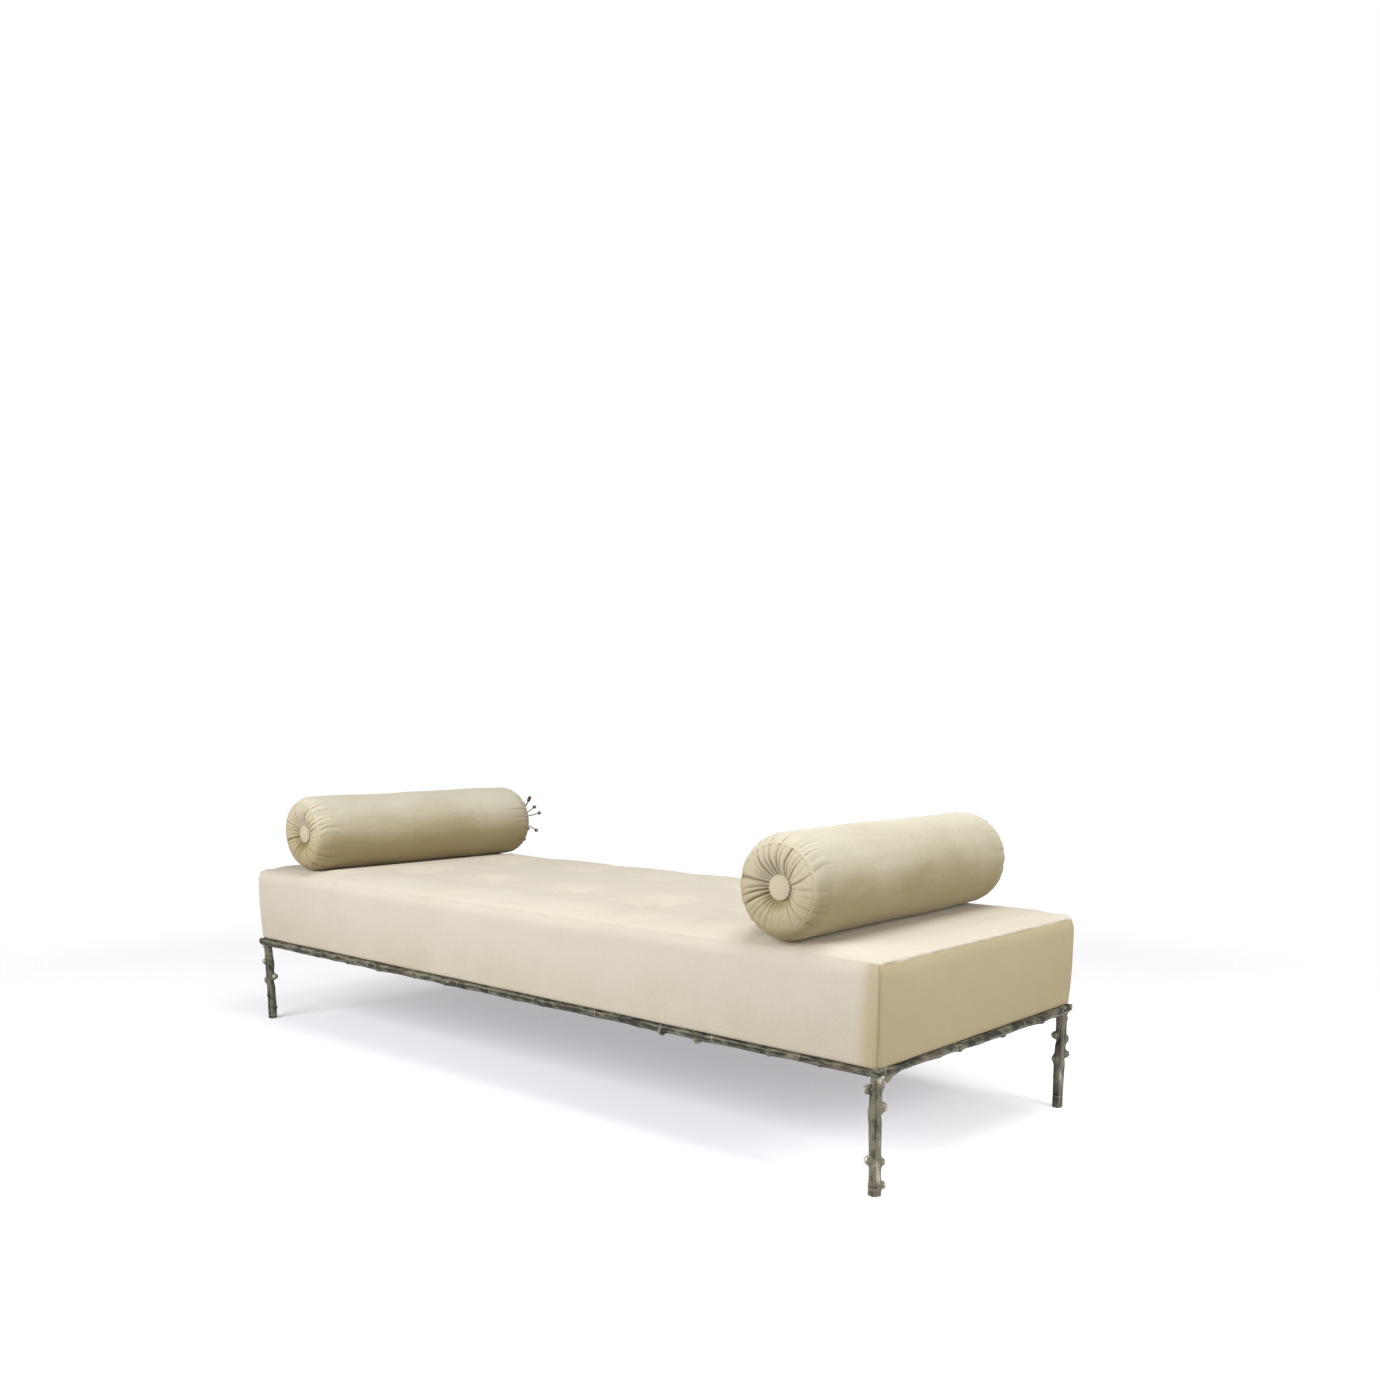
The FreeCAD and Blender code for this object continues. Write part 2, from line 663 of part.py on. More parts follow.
def make_berry_spray():
    """The cast spray: a domed hub, stems that bend outwards from it, and a berry on each."""
    face = bolster_half - button_sunk + hub_edge
    stems = []
    balls = []
    for beside, above, behind in berries:
        out = Vector(beside, 0, above).normalize()
        centre = Vector(beside, bolster_half + behind, above)
        root = out * stem_ring_radius + Vector(0, face, 0)
        bend = out * 0.42 * math.hypot(beside, above) + Vector(0, bolster_half + 0.55 * behind, 0)
        tip = centre - (centre - bend).normalize() * berry_radius
        curve = Part.Arc(root, bend, tip).toShape()
        ring = Part.Wire(Part.makeCircle(stem_radius, root, curve.tangentAt(curve.FirstParameter)))
        stems.append(Part.Wire(curve).makePipeShell([ring], True, False))
        onward = curve.tangentAt(curve.LastParameter)
        balls.append(Part.makeSphere(berry_radius, tip + onward * (berry_radius + weld_gap)))
    hub = domed_disc(hub_radius, hub_edge, hub_height)
    place = (-half_length + left_bolster_from_end, left_bolster_back, left_bolster_turn)
    save("berry_hub", place_bolster(hub, *place).cut([place_bolster(stem, *place) for stem in stems]))
    save("berry_stems", *[place_bolster(stem, *place) for stem in stems])
    save("berries", *[place_bolster(ball, *place) for ball in balls])


os.makedirs("parts", exist_ok=True)
make_ledges(make_base())
make_seat_frame()
make_seat_softs()
make_tuft_ties()
make_bolsters()
make_berry_spray()
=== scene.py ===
# %% [markdown]
# # A backless divan on a twig frame
# The divan is a long upholstered seat with two loose bolsters, on a cast frame that looks like branches.
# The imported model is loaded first. It says where every piece is, so each new piece takes its place and
# size from the boxes and meshes of the nodes that it stands for. Everything is in metres.

# %% Load the frame
import math

import bmesh
import bpy
import numpy as np
from mathutils import Matrix, Vector


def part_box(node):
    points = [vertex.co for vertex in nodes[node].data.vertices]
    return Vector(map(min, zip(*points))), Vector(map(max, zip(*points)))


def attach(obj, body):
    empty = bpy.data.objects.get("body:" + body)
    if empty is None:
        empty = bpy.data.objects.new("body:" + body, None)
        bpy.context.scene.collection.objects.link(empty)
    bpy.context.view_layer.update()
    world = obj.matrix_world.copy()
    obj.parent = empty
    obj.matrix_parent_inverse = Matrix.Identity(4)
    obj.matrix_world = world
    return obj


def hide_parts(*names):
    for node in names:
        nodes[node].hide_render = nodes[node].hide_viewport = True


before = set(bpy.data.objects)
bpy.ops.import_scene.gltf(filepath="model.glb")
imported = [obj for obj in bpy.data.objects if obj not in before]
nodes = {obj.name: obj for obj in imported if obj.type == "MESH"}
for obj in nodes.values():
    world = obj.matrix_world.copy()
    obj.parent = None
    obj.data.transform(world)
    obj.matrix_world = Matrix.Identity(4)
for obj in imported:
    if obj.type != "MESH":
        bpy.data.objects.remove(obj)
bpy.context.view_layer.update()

# %% [markdown]
# ## Camera
# The picture was taken from in front and to the right, a little above the seat, with the object low in
# the frame. A lens shift moves the object down without tilting the camera, so upright legs stay upright.

# %% Camera
def put_in_scene(name, data):
    """A new object that shows this data, linked to the scene."""
    made = bpy.data.objects.new(name, data)
    bpy.context.scene.collection.objects.link(made)
    return made


camera_data = bpy.data.cameras.new("camera")
camera_data.sensor_fit = "HORIZONTAL"
camera_data.sensor_width = 36.0
camera_data.lens = 33.01
camera_data.shift_y = 0.2016
camera = put_in_scene("camera", camera_data)
camera.location = (2.2981, -2.2349, 0.8481)
camera.rotation_euler = (math.radians(79.1), 0.0, math.radians(42.4))
bpy.context.scene.camera = camera
bpy.context.scene.view_settings.view_transform = "Standard"

# %% [markdown]
# ## Materials as sums
# A shader network is easier to read as a sum than as a web. `Value` wraps one socket, and Python's own
# operators on it add Math nodes. `Graph` makes every other node, and `Finish` is the graph of one material.

# %% A socket that can be added and multiplied
class Value:
    """One output socket of a node. Operators on it add Math nodes."""

    def __init__(self, graph, socket):
        self.graph = graph
        self.socket = socket

    def __add__(self, other):
        return self.graph.math("ADD", self, other)

    def __sub__(self, other):
        return self.graph.math("SUBTRACT", self, other)

    def __rsub__(self, other):
        return self.graph.math("SUBTRACT", other, self)

    def __mul__(self, other):
        return self.graph.math("MULTIPLY", self, other)

    __radd__ = __add__
    __rmul__ = __mul__

    def between(self, low, high):
        """0 below low, 1 above high, and a smooth step from one to the other."""
        settings = {"interpolation_type": "SMOOTHSTEP"}
        return self.graph.node("MapRange", settings, {0: self, 1: low, 2: high})


# %% The nodes of a material or of the world
class Graph:
    """A tree of shader nodes that ends in one output."""

    def __init__(self, owner, output):
        owner.use_nodes = True
        self.tree = owner.node_tree
        self.tree.nodes.clear()
        self.output = self.tree.nodes.new("ShaderNode" + output)

    def show(self, shade):
        self.connect(self.output.inputs[0], shade)

    def connect(self, socket, value):
        """Give a socket a link, a colour or a number."""
        if isinstance(value, Value):
            self.tree.links.new(value.socket, socket)
        elif isinstance(value, tuple) and len(value) == 3 and socket.type == "RGBA":
            socket.default_value = (*value, 1.0)
        else:
            socket.default_value = value

    def node(self, kind, settings=None, sockets=None, output=0):
        """Any shader node: its settings first, then the values or links of its sockets."""
        made = self.tree.nodes.new("ShaderNode" + kind)
        for name, setting in (settings or {}).items():
            if name == "stops":
                self.set_stops(made.color_ramp, setting)
            else:
                setattr(made, name, setting)
        for key, value in (sockets or {}).items():
            self.connect(made.inputs[key], value)
        return Value(self, made.outputs[output])

    def set_stops(self, ramp, stops):
        while len(ramp.elements) < len(stops):
            ramp.elements.new(1.0)
        for element, (place, colour) in zip(ramp.elements, stops):
            element.position = place
            element.color = (*colour, 1.0)

    def math(self, operation, *terms):
        return self.node("Math", {"operation": operation}, dict(enumerate(terms)))

    def mix(self, share, first, second):
        """A colour between two colours."""
        return self.node("Mix", {"data_type": "RGBA"}, {0: share, 6: first, 7: second}, 2)

    def seen_directly(self):
        """1 for rays of the camera, also off or through something shiny, and 0 for the light's."""
        rays = [self.node("LightPath", output=name)
                for name in ("Is Camera Ray", "Is Glossy Ray", "Is Transmission Ray")]
        return (rays[0] + rays[1] + rays[2]).between(0.0, 1.0)


# %% A material and its nodes
class Finish(Graph):
    """One material: a Principled surface and the nodes that feed it."""

    def __init__(self, name, **constants):
        self.material = bpy.data.materials.new(name)
        super().__init__(self.material, "OutputMaterial")
        self.surface = self.tree.nodes.new("ShaderNodeBsdfPrincipled")
        self.lit = Value(self, self.surface.outputs[0])
        self.show(self.lit)
        self.feed(**constants)

    def feed(self, **values):
        """Give sockets of the surface, such as base_color, a number, a colour or a link."""
        for name, value in values.items():
            socket = name.replace("_", " ").title().replace("Ior", "IOR")
            self.connect(self.surface.inputs[socket], value)

    def place(self, scale=(1.0, 1.0, 1.0)):
        """Object coordinates, stretched by a scale on each axis."""
        where = self.node("TexCoord", output="Object")
        return self.node("Mapping", None, {"Vector": where, "Scale": scale})

    def noise(self, scale, detail=2.0, stretch=(1.0, 1.0, 1.0), roughness=0.5, distortion=0.0):
        """Soft random values about 0.5, with `scale` patches to a metre."""
        sockets = {"Vector": self.place(stretch), "Scale": scale, "Detail": detail,
                   "Roughness": roughness, "Distortion": distortion}
        return self.node("TexNoise", None, sockets)

    def painted(self, name):
        """A number that the modelling stored on the mesh's points."""
        return self.node("Attribute", {"attribute_name": name}, output="Fac")

    def relief(self, height, depth, strength=1.0, under=None):
        """Turn a height into a Normal for the surface: depth in metres."""
        sockets = {"Height": height, "Distance": depth, "Strength": strength}
        if under is not None:
            sockets["Normal"] = under
        return self.node("Bump", None, sockets)


# %% [markdown]
# ## The velvet
# The cloth is a short pile velvet in a pale gold beige. Its pile leans one way, so cloth that was cut and
# turned shows a deeper gold, and hands leave soft paler and darker patches. Shade is painted into the
# colour too: bolster tops paler and their undersides deeper, the seat's band deeper low down, its short
# ends deeper than their turned pile alone makes them, and dark brown painted shade in folds, seams, tuft
# dimples and along the bolsters' contact lines. Pile also shines at a grazing angle, which the surface's
# sheen gives. A photo texture could hold all that, but noise on object coordinates has no seams and no size
# limit.

# %% Velvet
# PALE and OLIVE are the cloth in light, DEEP and SHADED the cloth in shade or with its pile turned: the
# painted nap-and-shade number mixes them, so it paints shade as well as pile direction.
PALE_VELVET = (0.735, 0.678, 0.575)
DEEP_VELVET = (0.575, 0.480, 0.285)
OLIVE_VELVET = (0.690, 0.655, 0.520)
SHADED_VELVET = (0.375, 0.308, 0.168)
CREASE_SHADE_VELVET = (0.240, 0.162, 0.052)
WARM_VELVET = (0.660, 0.530, 0.300)


def make_velvet(name, streak, pale, deep_colour, uneven):
    """Velvet whose soft streaks are drawn out by `streak`, a scale on each axis."""
    finish = Finish(name, roughness=0.92, sheen_weight=0.20, sheen_roughness=0.45,
                    specular_ior_level=0.15)
    finish.feed(sheen_tint=(1.0, 0.96, 0.88, 1.0))
    patches = finish.noise(5.0, 3.0, distortion=0.6)
    strokes = finish.noise(9.0, 4.0, streak, 0.6)
    fuzz = finish.noise(900.0, 2.0)
    nap = finish.painted("nap")
    speckle = finish.noise(150.0, 3.0, roughness=0.7)
    soft = (patches - 0.5) * uneven + (strokes - 0.5) * uneven
    # Painted shade and turned pile: the painted nap-and-shade number, with random patches, moves the colour
    # towards the deep one.
    deep = (nap + soft + (speckle - 0.5) * 0.30 + (fuzz - 0.5) * 0.15).between(0.0, 1.0)
    cloth = finish.mix(finish.painted("warm"), finish.mix(deep, pale, deep_colour), WARM_VELVET)
    # Painted shade: pleats, seams, tuft dimples and the bolsters' contact lines are mixed towards a dark
    # brown.
    finish.feed(base_color=finish.mix(finish.painted("crease"), cloth, CREASE_SHADE_VELVET))
    pile = finish.relief(fuzz, 0.0004, 0.35)
    ripple = finish.noise(40.0, 3.0, streak)
    finish.feed(normal=finish.relief(ripple, 0.0012, 0.25, pile))
    finish.feed(roughness=0.86 + patches * 0.12)
    return finish.material


seat_velvet = make_velvet("seat_velvet", (1.0, 1.0, 0.6), PALE_VELVET, DEEP_VELVET, 0.28)
bolster_velvet = make_velvet("bolster_velvet", (2.2, 0.22, 2.2), OLIVE_VELVET, SHADED_VELVET, 0.50)
print("velvet", seat_velvet.name, bolster_velvet.name)

# %% [markdown]
# ## From points to a piece
# Meshes are shaped in two steps. Bmesh operators make the surface, and then all its points are moved
# at once, as a sculptor would push them, with numpy. `soft_noise` is a random field that is the same
# each time: a few waves in random directions.

# %% Helpers for shaping
def points_of(mesh):
    """The mesh's points as rows of x, y, z."""
    flat = np.empty(len(mesh.vertices) * 3)
    mesh.vertices.foreach_get("co", flat)
    return flat.reshape(-1, 3)


def move_points(mesh, points):
    mesh.vertices.foreach_set("co", points.ravel())
    mesh.update()


def paint(mesh, name, numbers):
    """Store a number on every point, for a material to read."""
    layer = mesh.attributes.new(name, "FLOAT", "POINT")
    layer.data.foreach_set("value", np.asarray(numbers, np.float32))


def soft_noise(points, size, seed, waves=14):
    """A smooth random number between about -1 and 1 for every point, with patches of a size."""
    chance = np.random.default_rng(seed)
    directions = chance.normal(size=(waves, points.shape[1]))
    directions /= np.linalg.norm(directions, axis=1)[:, None]
    lengths = size * chance.uniform(0.7, 1.6, waves)
    phases = chance.uniform(0, 2 * math.pi, waves)
    total = np.zeros(len(points))
    for direction, length, phase in zip(directions, lengths, phases):
        total += np.sin(points @ direction * (2 * math.pi / length) + phase)
    return total / math.sqrt(waves)


def hill(distance, width):
    """1 at no distance, falling away smoothly over a width."""
    return np.exp(-((distance / width) ** 2))


def ramp(values, low, high):
    """0 below low, 1 above high, smooth between."""
    share = np.clip((values - low) / (high - low), 0, 1)
    return share * share * (3 - 2 * share)


# %% From a grid to a piece of the divan
def unit_grid(columns, rows):
    """A bmesh grid, and the places of its points, which run from -1 to 1 on both sides."""
    tool = bmesh.new()
    bmesh.ops.create_grid(tool, x_segments=columns, y_segments=rows, size=1.0)
    places = np.array([vert.co[:2] for vert in tool.verts])
    return tool, places / places[:, 0].max()


def raw_mesh(tool, name):
    """Store a bmesh as it is, and free it."""
    mesh = bpy.data.meshes.new(name)
    tool.to_mesh(mesh)
    tool.free()
    return mesh


def make_mesh(tool, name):
    """Finish a bmesh: merge its doubles, turn its faces outwards, and make it a smooth mesh."""
    merge_doubles(tool)
    bmesh.ops.recalc_face_normals(tool, faces=tool.faces)
    mesh = raw_mesh(tool, name)
    mesh.shade_smooth()
    return mesh


def merge_doubles(tool):
    bmesh.ops.remove_doubles(tool, verts=tool.verts, dist=1e-6)


def add_piece(mesh, material, body, slot, *stands_for):
    """Show a mesh as a piece that rides on a body and stands for CAD nodes."""
    piece = put_in_scene(mesh.name, mesh)
    mesh.materials.clear()
    mesh.materials.append(material)
    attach(piece, body)
    if stands_for:
        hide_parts(*stands_for)
    print(f"{mesh.name}: {sum(len(face.vertices) - 2 for face in mesh.polygons)} triangles")
    return piece


# %% [markdown]
# ## The seat
# The seat is a sewn cover over foam: a top panel, a band round the sides, and a hem turned under. The top
# is crowned and held down by ten tufts in two rows. A grid makes the top, its edge is extruded down
# in rings for the band, and a last ring is filled so that the cushion is a closed form.

# %% Sizes of the seat, from the frame
band_low, band_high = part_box("seat_cover_band")
top_low, top_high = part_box("seat_cover_top")
foam_low, foam_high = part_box("seat_foam")
seat_middle = (band_low + band_high) / 2
half_x = (band_high.x - band_low.x) / 2
half_y = (band_high.y - band_low.y) / 2
seam_z = band_high.z
bottom_z = band_low.z
crown = top_high.z - seam_z
band_height = seam_z - bottom_z
corner_radius = 0.013
draw_in = 0.0015
edge_round = 0.006
crown_run = 0.100
hem_width = 0.045
scallop_length = 0.019
corner_seam_turn = 42.0
print(f"seat {2 * half_x:.3f} x {2 * half_y:.3f}, seam at {seam_z:.3f}, crown {crown:.3f}")

# %% A grid of the seat's plan
grid_step = 0.0045
fine_step = 0.0018
fine_rows = 10


def spread(share, half):
    """Place of a grid line: fine steps near both edges of the seat, even ones between."""
    count = round(2 * half / grid_step)
    index = (share + 1) / 2 * count
    fine = fine_rows * fine_step
    even = (2 * half - 2 * fine) / (count - 2 * fine_rows)
    if index < fine_rows:
        return index * fine_step - half
    if index > count - fine_rows:
        return half - (count - index) * fine_step
    return fine + (index - fine_rows) * even - half


def round_corner(x, y):
    """Move a point of a corner's square to where it lies in the corner's quarter circle."""
    over_x = (abs(x) - half_x + corner_radius) / corner_radius
    over_y = (abs(y) - half_y + corner_radius) / corner_radius
    if over_x <= 0 or over_y <= 0:
        return x, y
    reach = max(over_x, over_y)
    turn = over_y / over_x if over_x >= over_y else 2 - over_x / over_y
    angle = turn * math.pi / 4
    x = math.copysign(half_x - corner_radius + corner_radius * reach * math.cos(angle), x)
    y = math.copysign(half_y - corner_radius + corner_radius * reach * math.sin(angle), y)
    return x, y


def seat_surface():
    """The seat's skin still flat: x and y are its plan, and z is how far the cloth runs past the seam."""
    tool, places = unit_grid(round(2 * half_x / grid_step), round(2 * half_y / grid_step))
    for vert, (x, y) in zip(tool.verts, places):
        vert.co = (*round_corner(spread(x, half_x), spread(y, half_y)), 0.0)
    ring = [edge for edge in tool.edges if edge.is_boundary]
    fine = [0.0015, 0.003, 0.005, 0.0075, 0.0105]
    even = list(np.linspace(0.0145, band_height - 0.004, 36))
    hem = [band_height + part for part in (0.0, 0.004, 0.012, 0.016, hem_width)]
    for run in fine + even + hem:
        made = bmesh.ops.extrude_edge_only(tool, edges=ring)["geom"]
        for vert in (item for item in made if isinstance(item, bmesh.types.BMVert)):
            vert.co.z = run
        ring = [item for item in made if isinstance(item, bmesh.types.BMEdge)]
    bmesh.ops.holes_fill(tool, edges=ring, sides=0)
    return make_mesh(tool, "seat_cover")


seat_mesh = seat_surface()
flat_seat = points_of(seat_mesh)
print("points", len(flat_seat))

# %% [markdown]
# The tufts are blind: a twine pulls the cloth down without a button. Each leaves a soft dimple, and the
# cloth pulls into short slanting creases beside it. The seam gathers the edge of the top panel a little,
# which shows as scallops, mostly on the short ends.

# %% Where the tufts are
def tuft_points():
    """The upper ends of the tufts' twines, from their node."""
    points = points_of(nodes["tuft_twines"].data)
    high = points[points[:, 2] > points[:, 2].max() - 0.001][:, :2]
    places = []
    for point in high:
        if all(np.linalg.norm(point - place) > 0.05 for place in places):
            places.append(point)
    return np.array(places)


tufts = tuft_points() - np.array([seat_middle.x, seat_middle.y])
print("tufts", len(tufts))
tuft_depth = 0.0170
crease_depth = 0.0042
crease_turns = (0.7, 2.4, 3.9, 5.5)


def tuft_pull(x, y):
    """How far the tufts and their creases pull the top down."""
    pull = np.zeros(len(x))
    chance = np.random.default_rng(5)
    for tuft_x, tuft_y in tufts:
        distance = np.hypot(x - tuft_x, y - tuft_y)
        angle = np.arctan2(y - tuft_y, x - tuft_x)
        pull += tuft_depth * (0.75 * hill(distance, 0.015) + 0.50 * hill(distance, 0.055))
        for turn in crease_turns:
            aim = turn + chance.uniform(-0.35, 0.35)
            strength = chance.uniform(0.5, 1.0)
            off = np.abs((angle - aim + math.pi) % (2 * math.pi) - math.pi)
            along = hill(distance - 0.030, 0.050) * ramp(distance, 0.004, 0.02)
            pull += crease_depth * strength * hill(off * np.maximum(distance, 0.012), 0.008) * along
    return pull


# %% Distance from the edge, and the seam's scallops
def edge_distance(x, y, radius):
    """How far a point of the plan is inside the seat's rounded outline."""
    over_x = np.abs(x) - half_x + radius
    over_y = np.abs(y) - half_y + radius
    outside = np.hypot(np.maximum(over_x, 0), np.maximum(over_y, 0))
    return radius - outside - np.minimum(np.maximum(over_x, over_y), 0)


def near_ends(x):
    """0 along most of the seat, 1 at its short ends."""
    return ramp(np.abs(x), half_x - 0.06, half_x - 0.01)


def scallops(x, y):
    """Waves along the seam, stronger on the short ends."""
    along = np.where(np.abs(x) > half_x - 0.03, y, x)
    along = along + 0.004 * np.sin(along * 61) + 0.003 * np.sin(along * 173 + 1)
    wave = np.sin(along * (2 * math.pi / scallop_length))
    patchy = 0.6 + 0.3 * np.sin(along * 17 + 2) + 0.3 * np.sin(along * 41)
    return wave * patchy * (0.35 + 0.65 * near_ends(x))


# %% The crowned top before it is stuffed
def top_rise(x, y):
    """Height of the top above the seam: a crown with soft unevenness and the tufts pulled in."""
    inside = np.maximum(edge_distance(x, y, corner_radius), 0)
    share = np.clip(inside / crown_run, 0, 1)
    rise = crown * (1 - (1 - share) ** 2) ** 0.62
    spot = np.stack([x, y], axis=1)
    pillow = 0.0012 * soft_noise(spot, 0.30, 3) + 0.0005 * soft_noise(spot, 0.11, 4)
    return rise + share * pillow - tuft_pull(x, y)


left_bolster_edge, right_bolster_edge = -0.76, 0.70
free_rise = 0.0080


def under_bolsters(x):
    """1 where a bolster lies on the seat, 0 away from them."""
    return np.maximum(ramp(left_bolster_edge - x, 0, 0.06), ramp(x - right_bolster_edge, 0, 0.06))


# %% [markdown]
# The panel is then stuffed by a short cloth simulation. A light grid of cloth, cut a little larger than
# the frame, is held along the seam and at the tufts and blown up from below, as foam does. It swells
# between the tufts and creases beside them. Only the change of height is kept, and the fine
# mesh takes it by interpolation, so the seam's small scallops aren't lost.

# %% Stuff the top panel
cloth_columns, cloth_rows = 244, 86
cloth_frames = 20
held_at_tuft, held_at_edge = 0.009, 0.006
least_change, most_change = -0.006, 0.012


def cloth_grid():
    """The top panel as a light grid at its crowned height."""
    tool, places = unit_grid(cloth_columns, cloth_rows)
    points = places * (half_x, half_y)
    for vert, (x, y), z in zip(tool.verts, points, top_rise(*points.T)):
        vert.co = (x, y, z)
    return raw_mesh(tool, "panel_cloth")


def stuffed_panel():
    """Run the cloth and return how far it rose, as rows of y and columns of x."""
    mesh = cloth_grid()
    start = points_of(mesh)
    panel = put_in_scene("panel_cloth", mesh)
    to_tuft = np.min([np.hypot(start[:, 0] - x, start[:, 1] - y) for x, y in tufts], axis=0)
    to_edge = np.minimum(half_x - np.abs(start[:, 0]), half_y - np.abs(start[:, 1]))
    held = panel.vertex_groups.new(name="held")
    fixed = np.flatnonzero((to_tuft < held_at_tuft) | (to_edge < held_at_edge))
    held.add(fixed.tolist(), 1.0, "REPLACE")
    cloth = panel.modifiers.new("cloth", "CLOTH")
    cloth.settings.vertex_group_mass = "held"
    cloth.settings.shrink_min = -0.006
    cloth.settings.bending_stiffness = 0.2
    cloth.settings.use_pressure = True
    cloth.settings.uniform_pressure_force = 4.0
    cloth.settings.effector_weights.gravity = 0.0
    for number in range(1, cloth_frames + 1):
        bpy.context.scene.frame_set(number)
    evaluated = panel.evaluated_get(bpy.context.evaluated_depsgraph_get())
    end = points_of(evaluated.data)
    order = np.lexsort((start[:, 0].round(6), start[:, 1].round(6)))
    change = (end[:, 2] - start[:, 2])[order].reshape(cloth_rows + 1, cloth_columns + 1)
    bpy.data.objects.remove(panel)
    bpy.data.meshes.remove(mesh)
    bpy.context.scene.frame_set(1)
    print(f"cloth rose {change.min():.4f} to {change.max():.4f}")
    return np.clip(change, least_change, most_change)


swelling = stuffed_panel()


def swelling_at(x, y):
    """The simulated change of height at any point of the plan."""
    if swelling is None:
        return np.zeros(len(x))
    column = np.clip((x / half_x + 1) / 2, 0, 1) * cloth_columns
    row = np.clip((y / half_y + 1) / 2, 0, 1) * cloth_rows
    left = np.minimum(column.astype(int), cloth_columns - 1)
    low = np.minimum(row.astype(int), cloth_rows - 1)
    over, up = column - left, row - low
    lower = swelling[low, left] * (1 - over) + swelling[low, left + 1] * over
    upper = swelling[low + 1, left] * (1 - over) + swelling[low + 1, left + 1] * over
    return lower * (1 - up) + upper * up


# %% Shape the seat
def shape_seat(flat):
    """Move the flat skin to the shape of the stuffed seat."""
    x, y, run = flat.T
    inside = np.maximum(edge_distance(x, y, corner_radius), 0)
    spot = np.stack([x, y, run], axis=1)
    rise = top_rise(x, y) + swelling_at(x, y) * np.clip(inside / 0.03, 0, 1)
    rise = np.minimum(rise, crown + free_rise - free_rise * under_bolsters(x))
    ends = near_ends(x)
    gather = hill(inside - 0.010, 0.006 + 0.006 * ends) * ramp(inside, 0, 0.008)
    rise += (0.0008 + 0.0018 * ends) * scallops(x, y) * gather
    over_x = np.maximum(np.abs(x) - half_x + corner_radius, 0) * np.sign(x)
    over_y = np.maximum(np.abs(y) - half_y + corner_radius, 0) * np.sign(y)
    length = np.maximum(np.hypot(over_x, over_y), 1e-9)
    out_x, out_y = over_x / length, over_y / length
    down = np.clip(run, 0, band_height)
    rounding = edge_round * (1 - 0.65 * ends)
    inset = draw_in * (down / band_height) ** 2 + rounding * np.clip(1 - run / 0.030, 0, 1) ** 2
    groove = 0.0006 + 0.0010 * ends
    inset += groove * hill(run, 0.0022) + np.maximum(run - band_height, 0)
    inset += 0.0022 * hill(run - band_height, 0.003)
    wobble = 0.0007 * soft_noise(spot, 0.22, 8) + 0.0003 * soft_noise(spot, 0.07, 9)
    wave = 0.0005 * scallops(x, y) * hill(run - 0.007, 0.006)
    swell = 0.0022 + 0.0022 * np.sin(np.clip(down / band_height, 0, 1) * math.pi)
    inset -= (wobble + wave + swell) * ramp(run, 0, 0.02) * (run < band_height + 0.001)
    turn = np.degrees(np.arctan2(np.abs(out_y), np.abs(out_x)))
    corner_seam = hill((turn - corner_seam_turn) * math.radians(corner_radius), 0.0019)
    at_corner = (np.abs(out_x) > 1e-6) & (np.abs(out_y) > 1e-6)
    inset += 0.0012 * corner_seam * at_corner * ramp(run, -0.001, 0.004)
    on_top = inside > 1e-6
    top_inset = rounding * hill(inside, 0.012) * on_top
    inset = np.where(on_top, 0, inset)
    x, y = x * (1 - top_inset / half_x), y * (1 - top_inset / half_y)
    tucked = 0.0014 * ramp(run - band_height, 0.012, 0.016)
    shaped = np.empty_like(flat)
    shaped[:, 0] = seat_middle.x + x - out_x * inset
    shaped[:, 1] = seat_middle.y + y - out_y * inset
    shaped[:, 2] = np.where(run > 0, seam_z - down + tucked, seam_z + rise)
    return shaped


def contact_shade_of_bolsters(x, y):
    """1 along the lines where the bolsters lie on the top, for a painted contact shadow there."""
    contact_shade = np.zeros(len(x))
    for side in ("left", "right"):
        tie = points_of(nodes[f"{side}_bolster_tie"].data)
        near = tie[tie[:, 1].argmin()] - seat_middle
        far = tie[tie[:, 1].argmax()] - seat_middle
        share = np.clip((y - near[1]) / (far[1] - near[1]), 0.03, 0.97)
        away = np.hypot(x - near[0] - share * (far[0] - near[0]),
                        y - near[1] - share * (far[1] - near[1]))
        contact_shade = np.maximum(contact_shade, 1 - ramp(away, 0.010, 0.060))
    return contact_shade


move_points(seat_mesh, shape_seat(flat_seat))

